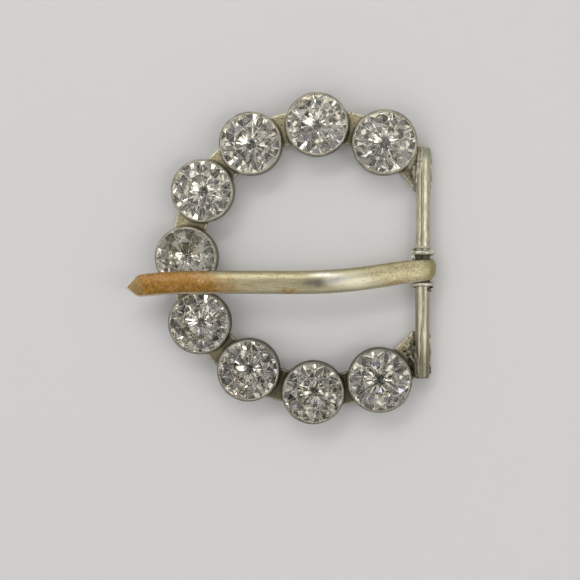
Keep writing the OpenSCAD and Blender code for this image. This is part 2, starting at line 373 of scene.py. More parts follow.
def strip_finish(paint):
    """Warm, dull, pitted metal with paler worn edges and burnt marks beside the bar, with painted shade beside the
    cups and low down its sides.
    """
    metal = paint.colours.strip
    across, along, up = paint.split(paint.here)
    cloud = paint.noise(2.2, 4)
    grain = paint.noise(0.32, 3, 0.65)
    pits = paint.spots(0.6, 0.3)
    specks = paint.spots(0.34, 0.35, 4.0)
    worn = paint.attribute("worn")
    darkening = paint.most(pits, specks * 0.6)
    lower = paint.step(along, -15, -18.5)
    upper = paint.step(along, 11.5, 14.5) * paint.step(across, -7, -5)
    # Painted shade in the corner where the strip meets each cup's wall
    crevice_shade = paint.step(beside_cups(paint), 0.6, 0.05)
    scorched = paint.near((-1.9, -16, -1.2), 1.2, 3.2) * paint.step(grain, 0.45, 0.62)
    # The burnt spots' outlines wander by up to this much, and the noise's middle is taken off
    bend = 1.4
    bent = paint.vector("MULTIPLY_ADD", paint.noise(0.8, 3).also("Color"), (bend,) * 3, paint.here)
    burnt = [paint.near((right + bend / 2, far + bend / 2, -0.5), reach / 2, reach, bent) * 0.95
             for right, far, reach in BURNT_SPOTS]
    # Dark: pits, specks and burns, with painted shade beside the cups and low down the strip's sides
    dark = paint.most(darkening * 0.85, crevice_shade * 0.72, paint.step(up, -1.5, -2.3) * 0.55,
                      *burnt, scorched * 0.7)
    base = paint.layers(
        shade(metal, 0.8), (paint.step(cloud, 0.35, 0.7), metal, 1.35),
        (paint.step(grain, 0.42, 0.66) * 0.5, metal, 0.5),
        (lower * 0.8, (0.15, 0.13, 0.09)), (upper * 0.55, (0.20, 0.19, 0.145)),
        (worn * paint.step(grain, 0.8, 0.3) * (1 - 0.5 * lower), (0.80, 0.75, 0.60)),
        (dark, paint.colours.tarnish_and_shade))
    paint.close({
        "Base Color": base, "Metallic": 0.82 - 0.5 * darkening,
        "Roughness": 0.4 + 0.22 * grain - 0.12 * worn + 0.2 * darkening},
        grain * 0.8 + cloud * 0.6 - pits - 0.5 * specks, 0.045)


def cup_finish(paint):
    """Brownish grey metal with painted shade down the walls, deepest on the lower four cups, and rubbed bright
    where it meets the stone.
    """
    metal = paint.colours.cup
    _, along, up = paint.split(paint.here)
    cloud = paint.noise(1.6, 4)
    grain = paint.noise(0.28, 3, 0.6)
    rub = paint.noise(0.5, 2, 0.5, (1, 1, 0.25))
    specks = paint.spots(0.35, 0.16)
    edge = paint.attribute("rubbed") * paint.step(rub, 0.35, 0.6)
    rim = (RIM_TOP - BAR_MIDDLE.z) / MM
    # Painted shade down the outer walls, from just under the rim
    wall = paint.step(up, rim - 0.08, rim - 0.55)
    lower = paint.step(along, -4, -8)
    # The darker colour that the painted shade gives the walls
    dull = paint.layers(
        shade(metal, 0.26), (paint.step(cloud, 0.3, 0.75), metal, 0.55))
    base = paint.layers(
        shade(metal, 0.62), (paint.step(cloud, 0.35, 0.65), metal, 1.05),
        (paint.step(grain, 0.5, 0.7) * 0.4, metal, 0.45), (wall, dull),
        # Painted shade, deeper on the walls of the lower four cups
        (lower * (0.4 + 0.48 * wall), metal, 0.14), (edge, (0.88, 0.83, 0.70)),
        (specks * 0.75, paint.colours.tarnish_and_shade))
    paint.close({
        "Base Color": base, "Metallic": 0.95 - 0.4 * specks,
        "Roughness": 0.4 - 0.14 * edge + 0.2 * rub * wall + 0.14 * grain},
        grain * 0.7 + rub * 0.4 - specks, 0.025)


def bar_finish(paint):
    """Silvery rolled metal, streaked along its length, dull in the seam and at the joints, with painted shade on
    its flanks, underneath and beside the tongue's loop.
    """
    metal = paint.colours.bar
    across, along, up = paint.split(paint.here)
    streak = paint.noise(0.2, 3, 0.55, (1, 12, 1))
    smear = paint.noise(0.6, 3, 0.5, (1, 4, 1))
    grain = paint.noise(0.3, 4, 0.65)
    specks = paint.spots(0.36, 0.22)
    from_seam = across - seam_shift(paint, along)
    seam_width = size_settings().seam_width / MM
    seam = paint.step(abs(from_seam), seam_width * 0.6, seam_width * 0.4)
    seam = seam * paint.step(up, 0, 0.2)
    seam = seam * paint.step(along, 17.4, 15.6) * paint.step(along, -18.4, -16)
    crack = paint.step(abs(from_seam + 0.13), 0.10, 0.03)
    lower_half = paint.step(along, 0, -10)
    low_end = paint.step(along, -11.5, -18.5)
    olive_end = paint.step(along, -15.5, -17.5) * paint.step(across, 0.1, -0.3)
    top_end = paint.step(along, 17.6, 18.9)
    # Painted shade on the bar between the collars, under and beside the tongue's loop
    loop_shade = paint.step(abs(along + 0.85), 2.65, 2.35)
    # Painted shade down both flanks, heavier on the lower half
    right_flank_shade = paint.step(across, 0.35, 0.95) * (0.5 + 0.3 * lower_half)
    left_flank_shade = paint.step(across, -0.6, -1.0) * (0.25 + 0.5 * lower_half)
    # Dark marks in the seam and specks, with painted shade under the bar's middle
    darkening = paint.most(seam * crack * paint.step(smear, 0.35, 0.6) * 0.8, specks * 0.6,
                      paint.step(up, -0.1, -0.9) * 0.6)
    base = paint.layers(
        shade(metal, 0.75), (paint.step(streak, 0.35, 0.68), metal, 1.2),
        (paint.step(smear, 0.45, 0.7) * 0.5, metal, 0.5),
        (paint.step(grain, 0.5, 0.7) * 0.4, metal, 0.4),
        (seam * 0.7, (0.42, 0.37, 0.25)),
        (right_flank_shade, (0.32, 0.29, 0.18)), (left_flank_shade, (0.25, 0.21, 0.14)),
        (lower_half * 0.32, (0.40, 0.35, 0.25)), (low_end * 0.85, (0.21, 0.18, 0.12)),
        (olive_end * 0.75, (0.32, 0.32, 0.19)), (top_end * 0.75, (0.40, 0.37, 0.28)),
        (top_end * paint.step(across, -0.1, 0.5) * 0.8, (0.40, 0.45, 0.34)),
        (loop_shade * 0.92, (0.12, 0.11, 0.08)), (darkening, paint.colours.tarnish_and_shade))
    paint.close({
        "Base Color": base, "Metallic": 0.95 - 0.5 * darkening,
        "Roughness": 0.22 + 0.16 * streak + 0.14 * grain + 0.2 * darkening + 0.16 * seam
        + 0.3 * paint.most(loop_shade, top_end, olive_end)},
        streak * 0.5 + grain * (0.8 + 1.5 * top_end) - specks * 0.8, 0.035)


def solder_finish(paint):
    """Lumpy grey solder with dark hollows, and painted shade low down by the plates."""
    metal = paint.colours.solder
    _, along, up = paint.split(paint.here)
    cloud = paint.noise(0.9, 4)
    grain = paint.noise(0.2, 3, 0.6)
    swell = paint.near((0, 2.8, 0), 1.7, 2.1)
    pits = paint.spots(0.42, 0.25) * (1 - 0.7 * swell)
    green = paint.near((-0.9, -18.4, 0.6), 0.9, 2.0)
    drop = paint.near((-1.95, -16.3, -0.2), 0.35, 0.5)
    thread = paint.near((-1.5, -17.0, 0), 0.6, 0.75)
    lower = paint.step(along, -11, -13) * (1 - paint.most(drop, thread)) * (1 - 0.7 * green)
    base = paint.layers(
        shade(metal, 0.6), (paint.step(cloud, 0.35, 0.65), metal, 1.3),
        (swell, (0.66, 0.64, 0.50)), (green * 0.75, (0.34, 0.35, 0.22)),
        (paint.step(grain, 0.48, 0.66) * (1 - swell) * 0.6, metal, 0.25),
        # Painted shade on the solder below the bar's middle
        (paint.step(up, -0.3, -1.1) * 0.65, (0.17, 0.155, 0.10)),
        (lower * 0.7, (0.11, 0.09, 0.06)), (drop * 0.9, (0.80, 0.76, 0.64)),
        (pits * 0.9, paint.colours.tarnish_and_shade))
    paint.close({
        "Base Color": base, "Metallic": 0.85 - 0.5 * pits, "Roughness": 0.42 + 0.2 * grain},
        grain * 0.9 + cloud * 0.4 - pits, 0.06)


def wire_finish(paint):
    """Grey silvered wire, painted lighter on its top and outer crest and painted dark underneath and beside the
    bar, as light and shade would fall.
    """
    metal = paint.colours.wire
    across, _, up = paint.split(paint.here)
    cloud = paint.noise(0.8, 4)
    grain = paint.noise(0.24, 3, 0.6)
    specks = paint.spots(0.4, 0.3)
    # Painted light, not wear: 1 over the wire's top, 0 underneath
    worn = paint.step(up, -0.9, 1.3)
    inner = BAR_RADIUS / MM
    lit_crest = paint.step(paint.math("SQRT", across * across + up * up), inner + 0.48, inner + 0.82)
    cut_end = paint.near((-1.6, 1.2, -0.5), 0.25, 0.5) * paint.step(grain, 0.35, 0.6)
    base = paint.layers(
        shade(metal, 0.65), (paint.step(cloud, 0.3, 0.7), metal, 1.4),
        # Painted shade underneath the wire and where it lies close to the bar
        (1 - 0.35 * worn - 0.65 * lit_crest, metal, 0.06),
        (cut_end, (0.93, 0.90, 0.80)), (specks * 0.6, paint.colours.tarnish_and_shade))
    paint.close({
        "Base Color": base, "Metallic": 0.95, "Roughness": 0.18 + 0.2 * grain + 0.08 * cloud},
        grain * 0.6 + cloud * 1.2 - specks * 0.6, 0.05)


def tongue_finish(paint):
    """Grainy pale yellowish metal with an orange-brown stain that fades from the point, with painted highlights
    and a painted dark reflection on the shank.
    """
    metal = paint.colours.tongue
    orange = paint.colours.stain
    across, along, _ = paint.split(paint.here)
    reach = 0 - across
    side = along + 3.5
    cloud = paint.noise(1.6, 5, 0.6)
    mottle = paint.noise(0.5, 4, 0.65)
    grain = paint.noise(0.24, 3, 0.65)
    streak = paint.noise(0.45, 3, 0.55, (7, 1, 1))
    blotch = paint.noise(0.75, 3, 0.6, (1.6, 1, 1))
    pits = paint.spots(0.4, 0.18)
    under = paint.attribute("under")

    def patch(out, sideways, long, wide, edge=0.3):
        """1 in an oval on the shank, from its place out from the bar and off the middle line."""
        far = (reach - out) / long
        off = (side - sideways) / wide
        return paint.step(paint.math("SQRT", far * far + off * off), 1.0, edge)

    coarse = paint.step(reach, 13, 5)
    # Painted dark reflection and painted glint where the shank bends, standing in for a dim and a bright part of
    # the room seen in it
    grey = patch(18.5, 0.2, 4.0, 1.5, 0.1) * paint.step(cloud, 0.85, 0.35)
    glint = paint.most(patch(15.0, 0.9, 3.0, 1.7, 0.0), patch(17.0, 1.7, 3.4, 0.7, 0.0))
    stain = paint.step(reach - 1.5 * side + (cloud - 0.5) * 8 + (mottle - 0.5) * 3, 29.7, 38)
    spills = paint.most(patch(23, -1.5, 2.6, 1.2), patch(4.2, 0.0, 2.6, 1.0) * 0.8)
    tint = paint.most(stain, spills * paint.step(cloud, 0.3, 0.5) * 0.8) * (1 - 0.8 * under)
    faded = paint.step(side, 1.0, 1.9) * paint.step(reach, 44, 48) * paint.step(mottle, 0.4, 0.6)
    rust = paint.layers(
        shade(orange, 0.7), (paint.step(mottle, 0.38, 0.66), orange, 1.4),
        (paint.step(side, -0.2, 1.3) * 0.6, (0.70, 0.375, 0.13)),
        (paint.step(cloud, 0.48, 0.66) * 0.5, (0.31, 0.20, 0.035)),
        (paint.step(blotch, 0.52, 0.64) * 0.4, (0.66, 0.42, 0.17)),
        (paint.step(blotch, 0.46, 0.36) * 0.4, (0.25, 0.145, 0.02)),
        (paint.step(grain, 0.48, 0.64) * 0.5, orange, 0.4),
        (paint.step(reach, 47.3, 49.6) * 0.35, (0.46, 0.40, 0.25)),
        (faded * 0.6, (0.66, 0.53, 0.33)))
    rubbed = patch(38.0, 0.6, 1.1, 0.6, 0.0) * paint.step(mottle, 0.4, 0.55)
    below = paint.layers(
        (0.84, 0.81, 0.70), (paint.step(mottle, 0.35, 0.7), (0.62, 0.58, 0.47)),
        (paint.step(cloud, 0.4, 0.65) * 0.6, (0.50, 0.46, 0.35)))
    # Pale where the point is filed and the sides worn, and a painted highlight along the lower edge
    wear_and_highlight = paint.most(paint.attribute("worn"), paint.step(reach, 50.6, 51.2))
    base = paint.layers(
        shade(metal, 0.95),
        (paint.step(mottle, 0.35, 0.68) * (0.4 + 0.6 * coarse), metal, 1.3),
        (paint.step(grain, 0.5, 0.72) * (0.2 + 0.5 * coarse), metal, 0.45),
        (paint.step(streak, 0.45, 0.7) * (1 - coarse) * 0.5, metal, 0.6),
        (paint.step(cloud, 0.45, 0.75) * 0.45, (0.46, 0.38, 0.19)),
        # Painted highlight: a bright zone on the shank towards the loop
        (patch(11.8, 0.6, 5.6, 2.2, 0.1) * 0.85, (0.97, 0.91, 0.68)),
        (grey * 0.92, (0.21, 0.20, 0.16)), (glint * 0.95, (1.0, 0.97, 0.86)),
        (paint.step(grain, 0.5, 0.62) * coarse * 0.5, (0.30, 0.25, 0.10)),
        (paint.step(across, -0.6, 1.6) * 0.7, (0.29, 0.265, 0.11)),
        (tint * 0.95, rust), (rubbed * 0.7, (0.85, 0.66, 0.42)),
        (pits * 0.4, (0.13, 0.09, 0.035)), (under, below), (wear_and_highlight, (0.93, 0.89, 0.78)))
    dull = tint * (1 - wear_and_highlight)
    paint.close({
        "Base Color": base, "Metallic": 0.97 - 0.15 * dull - 0.25 * under,
        "Roughness": 0.30 - 0.1 * glint + 0.12 * grain + 0.1 * mottle + 0.18 * dull + 0.2 * under},
        (grain * 0.8 + mottle * 0.7) * (0.5 + 0.5 * paint.most(coarse, stain)) - pits * 0.9, 0.05)


def glass_finish(paint):
    """Clear cut glass with a few dull smears."""
    paint.close({
        "Base Color": (1, 0.99, 0.965, 1), "Transmission Weight": 1.0, "IOR": PASTE_INDEX,
        "Roughness": 0.05 * paint.step(paint.noise(1.3, 3), 0.62, 0.8)})


def rubbed_finish(paint):
    """Edges between the facets, frosted by wear."""
    paint.close({
        "Base Color": (0.82, 0.81, 0.76, 1), "Transmission Weight": 0.65, "IOR": PASTE_INDEX,
        "Roughness": 0.3 + 0.3 * paint.noise(0.4, 3)})


def foil_finish(paint):
    """Silvered back of a stone, a little clouded, painted dark at the tip as a dark reflection, and with painted
    shade on the lower four.
    """
    silver = paint.colours.foil
    _, along, up = paint.split(paint.here)
    cloud = paint.noise(1.1, 4)
    flaked = paint.attribute("flaked")
    lower = paint.step(along, -4, -8)
    # Chance darker facets, more of them on the lower four stones as painted shade
    dark_facets = paint.step(paint.attribute("tone"), 0.6, 0.68) * (0.32 + 0.58 * lower)
    base = paint.layers(
        # Clouding, stronger on the lower four stones as painted shade
        silver, (paint.step(cloud, 0.5, 0.75) * (0.2 + 0.15 * lower), silver, 0.5),
        (dark_facets, (0.28, 0.26, 0.22)),
        # Painted dark reflection at the tip
        (paint.step(up + 0.5 * cloud, -0.85, -1.25) * 0.8, (0.10, 0.10, 0.09)),
        (flaked, (1.0, 0.96, 0.82)))
    paint.close({"Base Color": base, "Metallic": 1 - flaked,
                 "Roughness": 0.02 + 0.05 * cloud + 0.4 * flaked})


def floor_finish(paint):
    """Plain pale paper, very faintly clouded."""
    pale = bpy.context.scene.buckle_stage.floor
    base = paint.layers(pale, (paint.noise(30, 2) * 0.2, pale, 0.94))
    paint.close({"Base Color": base, "Roughness": 0.85})


FINISHES = {
    "strip_metal": strip_finish, "cup_metal": cup_finish, "bar_metal": bar_finish,
    "solder": solder_finish, "wire_metal": wire_finish, "pale_tongue_metal": tongue_finish,
    "clear_paste": glass_finish, "rubbed_edges": rubbed_finish, "foil_back": foil_finish,
    "floor": floor_finish,
}


def finish(name):
    """The material of a name, made the first time it is asked for."""
    made = bpy.data.materials.get(name)
    if made is None:
        paint = Finish(name)
        FINISHES[name](paint)
        made = paint.material
    return made


class Shape(Recipe):
    """A Geometry Nodes tree with named inputs, which ends in one plain painted mesh."""

    def __init__(self, name, *numbers, **others):
        super().__init__(bpy.data.node_groups.new(name, "GeometryNodeTree"))
        kinds = {"Geometry": "Geometry", **dict.fromkeys(numbers, "Float"), **others,
                 "Unevenness": "Float", "Seed": "Int", "Material": "Material"}
        face = self.tree.interface
        for label, kind in kinds.items():
            face.new_socket(label, in_out="INPUT", socket_type=f"NodeSocket{kind}")
        face.new_socket("Geometry", in_out="OUTPUT", socket_type="NodeSocketGeometry")
        self.given = self.add("NodeGroupInput", out="Geometry")

    def take(self, label):
        """One of the named inputs."""
        return self.given.also(label)

    def attribute(self, name):
        """A number that the given mesh holds."""
        return self.add("GeometryNodeInputNamedAttribute", {"data_type": "FLOAT"},
                        {"Name": name}, "Attribute")

    def combine(self, x, y, z):
        """A vector from three numbers."""
        return self.add("ShaderNodeCombineXYZ", {}, {"X": x, "Y": y, "Z": z})

    def scaled(self, vector, factor):
        """A vector times a number."""
        return self.add("ShaderNodeVectorMath", {"operation": "SCALE"},
                        {0: vector, "Scale": factor})

    def moved(self, geometry, socket, value):
        """Points put at a Position, or shifted by an Offset."""
        return self.add("GeometryNodeSetPosition", {}, {"Geometry": geometry, socket: value})

    def sway(self, size):
        """Seeded noise from 0 to 1 over the shape, with waves of about a size in millimetres."""
        place = self.add("GeometryNodeInputPosition")
        return self.add("ShaderNodeTexNoise", {"noise_dimensions": "4D"}, {
            "Vector": self.scaled(place, 1 / (size * MM)), "W": self.take("Seed"), "Scale": 1.0,
            "Detail": 2.0})

    def real(self, geometry):
        """Instances made real."""
        return self.add("GeometryNodeRealizeInstances", {}, {"Geometry": geometry})

    def roughen(self, geometry, size):
        """Moves points along their normals by seeded noise, up to the unevenness either way."""
        push = (self.sway(size) - 0.5) * 2 * self.take("Unevenness")
        return self.moved(
            geometry, "Offset", self.scaled(self.add("GeometryNodeInputNormal"), push))

    def close(self, geometry):
        """Ends the tree: instances made real, smooth shading and the material."""
        smooth = self.add("GeometryNodeSetShadeSmooth", {}, {"Geometry": self.real(geometry)})
        painted = self.add("GeometryNodeSetMaterial", {}, {
            "Geometry": smooth, "Material": self.take("Material")})
        self.add("NodeGroupOutput", {}, {"Geometry": painted})
        return self.tree


def drift(place):
    """A small smooth direction for a place. It is the same in every run, unlike noise_vector's."""
    return Vector([noise.noise(place + Vector(shift)) for shift in DRIFT_SHIFTS])


def new_piece(name, mesh):
    """Links a mesh into the scene as an object at the origin."""
    piece = bpy.data.objects.new(name, mesh)
    bpy.context.collection.objects.link(piece)
    return piece


def mesh_of(name, points, faces=()):
    """A mesh from points and faces."""
    mesh = bpy.data.meshes.new(name)
    mesh.from_pydata([tuple(point) for point in points], [], list(faces))
    mesh.update()
    return mesh


def skin(name, rings, hoop=False):
    """A mesh of the closed skin through rings of points."""
    return mesh_of(name, [point for ring in rings for point in ring], loft(rings, hoop))


def mark(mesh, name, values, domain="POINT"):
    """Gives every point or face of a mesh a number under a name."""
    mesh.attributes.new(name, "FLOAT", domain).data.foreach_set("value", list(values))


def grown(name, tree, mesh, share, material, values):
    """Runs a shape tree on a mesh, with a share of the unevenness, and keeps the plain result."""
    sizes = size_settings()
    values = {"Unevenness": share * sizes.unevenness, "Seed": sizes.seed,
              "Material": finish(material), **values}
    piece = new_piece(name, mesh)
    modifier = piece.modifiers.new(name, "NODES")
    modifier.node_group = tree
    for item in tree.interface.items_tree:
        if item.in_out == "INPUT" and item.name in values:
            modifier[item.identifier] = values[item.name]
    settle(piece)
    return piece


def settle(piece):
    """Turns what a piece's modifiers make of it into its plain mesh."""
    graph = bpy.context.evaluated_depsgraph_get()
    made = bpy.data.meshes.new_from_object(
        piece.evaluated_get(graph), preserve_all_data_layers=True, depsgraph=graph)
    if not made.polygons:
        raise RuntimeError(f"{piece.name} came out empty")
    piece.modifiers.clear()
    piece.data = made


def hand_over(piece, body, slot, *nodes):
    """Parents a finished piece to the empty of the body it rides on and hides the CAD parts it stands for. The
    slot, what it is made of, is not used.
    """
    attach(piece, body)
    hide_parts(*nodes)


def loft(rings, hoop=False):
    """Faces of a closed skin through rings of equal counts. A hoop's last ring joins its first."""
    count = len(rings[0])
    last = (len(rings) - 1) * count
    faces = []
    for row in range(len(rings) if hoop else len(rings) - 1):
        after = (row + 1) % len(rings)
        for k in range(count):
            following = (k + 1) % count
            faces.append((row * count + k, row * count + following,
                          after * count + following, after * count + k))
    if not hoop:
        faces.append(tuple(range(count - 1, -1, -1)))
        faces.append(tuple(last + k for k in range(count)))
    return faces


def circle(middle, radius, height, count):
    """Points round a level circle."""
    return [(middle[0] + radius * math.cos(math.tau * k / count),
             middle[1] + radius * math.sin(math.tau * k / count), height) for k in range(count)]


@contextmanager
def edited(mesh):
    """A mesh opened for editing and written back at the end."""
    work = bmesh.new()
    work.from_mesh(mesh)
    yield work
    work.to_mesh(mesh)
    work.free()


def outward(mesh):
    """Turns every face of a closed mesh outwards."""
    with edited(mesh) as work:
        bmesh.ops.recalc_face_normals(work, faces=work.faces)


def smooth_but_sharp(mesh, angle):
    """Shades a mesh smoothly, apart from edges that turn more than an angle."""
    mesh.shade_smooth()
    mesh.set_sharp_from_angle(angle=math.radians(angle))


def tip_room(height, bottom):
    """Radius of the room that a stone's tip needs at a height, from the bottom of that room."""
    return TIP_RADIUS + TIP_GAP + (height - bottom) / math.tan(PAVILION)


def stone_place(name):
    """The middle and the girdle's radius of a stone in the frame."""
    low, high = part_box(name)
    middle = (low + high) / 2
    corners = frame["nodes"][name].data.vertices
    return middle, max(math.hypot(corner.co.x - middle.x, corner.co.y - middle.y)
                       for corner in corners)


def back_outline():
    """The line round the frame's flat back, in order, seen from above as the clock runs back."""
    mesh = frame["nodes"]["frame"].data
    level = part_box("frame")[0].z
    sides = set()
    for face in mesh.polygons:
        corners = [mesh.vertices[i].co for i in face.vertices]
        if all(abs(corner.z - level) < LEVEL_WITHIN for corner in corners):
            keys = [(round(corner.x / MM, 4), round(corner.y / MM, 4)) for corner in corners]
            sides.update(zip(keys, keys[1:] + keys[:1]))
    border = {a: b for a, b in sides if (b, a) not in sides}
    line = [min(border)]
    while border[line[-1]] != line[0]:
        line.append(border[line[-1]])
    kept = []
    for x, y in line:
        point = Vector((x * MM, y * MM))
        if not kept or (point - kept[-1]).length > SHORTEST_SIDE:
            kept.append(point)
    area = sum(a.cross(b) for a, b in zip(kept, kept[1:] + kept[:1]))
    return kept if area > 0 else kept[::-1]


def drawn_in(line, distances):
    """A closed line whose points move inwards, or outwards by a negative distance."""
    moved = []
    for before, point, after, distance in zip(line[-1:] + line[:-1], line, line[1:] + line[:1],
                                              distances):
        first = (point - before).normalized()
        second = (after - point).normalized()
        inward = Vector((-first.y - second.y, first.x + second.x)).normalized()
        lean = max(LEAST_LEAN, inward.dot(Vector((-first.y, first.x))))
        moved.append(point + inward * distance / lean)
    return moved


class BUCKLE_OT_strip(Operator):
    """Makes the flat strip under the cups with its two flared end plates"""

    bl_idname = "buckle.strip"
    bl_label = "Strip and plates"

    def execute(self, context):
        sizes = size_settings()
        bevel = sizes.strip_bevel
        top = sizes.strip_thick
        line = self.worn_line(back_outline(), sizes)
        # Rows round the strip, from its back to its top: inset, height, wear
        rows = [(bevel, 0, 0.3), (0, bevel, 0.3), (0, top - bevel, 0.6),
                (0.35 * bevel, top - 0.3 * bevel, 1), (bevel, top, 1), (3.2 * bevel, top, 0)]
        mesh = skin("strip_and_plates", [
            [(*point, height) for point in drawn_in(line, [inset] * len(line))]
            for inset, height, _ in rows])
        mark(mesh, "worn", [wear for _, _, wear in rows for _ in line])
        outward(mesh)
        mesh.materials.append(finish("strip_metal"))
        strip = new_piece("strip_and_plates", mesh)
        self.hollow_out(strip, sizes)
        smooth_but_sharp(strip.data, 30)
        hand_over(strip, "frame", "frame_metal", "frame")
        return {"FINISHED"}

    @staticmethod
    def hollow_out(strip, sizes):
        """Sinks a small cone into the strip under the tip of each stone."""
        points = []
        faces = []
        for name in STONES:
            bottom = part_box(name)[0].z - TIP_GAP
            rings = [circle(stone_place(name)[0], tip_room(level, bottom), level, CONE_SIDES)
                     for level in (bottom, sizes.strip_thick + TIP_GAP)]
            faces += [tuple(len(points) + k for k in face) for face in loft(rings)]
            points += rings[0] + rings[1]
        cones = new_piece("tip_cones", mesh_of("tip_cones", points, faces))
        outward(cones.data)
        cut = strip.modifiers.new("tips", "BOOLEAN")
        cut.operation = "DIFFERENCE"
        cut.solver = "EXACT"
        cut.object = cones
        settle(strip)
        bpy.data.objects.remove(cones)

    @staticmethod
    def worn_line(line, sizes):
        """The outline with the small waves of a hand-cut edge, kept inside the true one."""
        waves = [noise.noise(Vector((*point, sizes.seed)) / EDGE_WAVE) for point in line]
        return drawn_in(line, [sizes.unevenness * (0.5 + 0.5 * wave) for wave in waves])


class BUCKLE_OT_bar(Operator):
    """Makes the rolled bar with its open seam upwards"""

    bl_idname = "buckle.bar"
    bl_label = "Rolled bar"

    AROUND = 160
    LENGTHWISE = 150
    # Half the seam's width as a share of the whole: the least, and what its waves add to that
    SEAM_HALF = 0.38
    SEAM_WAVES = 0.24
    # Half the width over which the seam's lips turn down, and the height over which it fades
    LIP = 0.07 * MM
    SEAM_FADE = 0.4 * MM
    # How far the bar stays inside its radius, and the length and share by which its ends ease in
    UNDERSIZE = 0.01 * MM
    EASE_LENGTH = 0.2 * MM
    EASE = 0.09

    def execute(self, context):
        sizes = size_settings()
        start = mesh_of("bar_start", [BAR_MIDDLE])
        bar = grown("rolled_bar", self.tree(), start, 0.3, "bar_metal", {
            "Radius": BAR_RADIUS - self.UNDERSIZE, "Length": sizes.bar_length,
            "Seam Width": sizes.seam_width, "Seam Depth": sizes.seam_depth})
        smooth_but_sharp(bar.data, 50)
        hand_over(bar, "frame", "frame_metal", "frame")
        return {"FINISHED"}

    def tree(self):
        """A cylinder along the bar, pressed in along its top and eased at both ends."""
        shape = Shape("Rolled bar", "Radius", "Length", "Seam Width", "Seam Depth")
        rod = shape.add("GeometryNodeMeshCylinder", {"fill_type": "NGON"}, {
            "Vertices": self.AROUND, "Side Segments": self.LENGTHWISE, "Fill Segments": 1,
            "Radius": shape.take("Radius"), "Depth": shape.take("Length")})
        x, y, z = shape.split(shape.add("GeometryNodeInputPosition"))
        half = shape.take("Seam Width") * (self.SEAM_HALF + self.SEAM_WAVES * shape.sway(1.6))
        from_seam = abs(x - seam_shift(shape, z, MM))
        within = shape.step(half - from_seam, -self.LIP, self.LIP)
        groove = within * shape.take("Seam Depth") * shape.step(y, 0.0, -self.SEAM_FADE)
        from_end = shape.take("Length") * 0.5 - abs(z)
        ease = 1 - shape.math("MINIMUM", from_end / self.EASE_LENGTH, 1.0)
        shrink = 1 - ease * self.EASE
        pressed = shape.moved(rod, "Position", shape.combine(x * shrink, y * shrink + groove, z))
        laid = shape.add("GeometryNodeTransform", {}, {
            "Geometry": shape.roughen(pressed, 2.5), "Translation": tuple(BAR_MIDDLE),
            "Rotation": (-math.pi / 2, 0, 0)})
        return shape.close(laid)


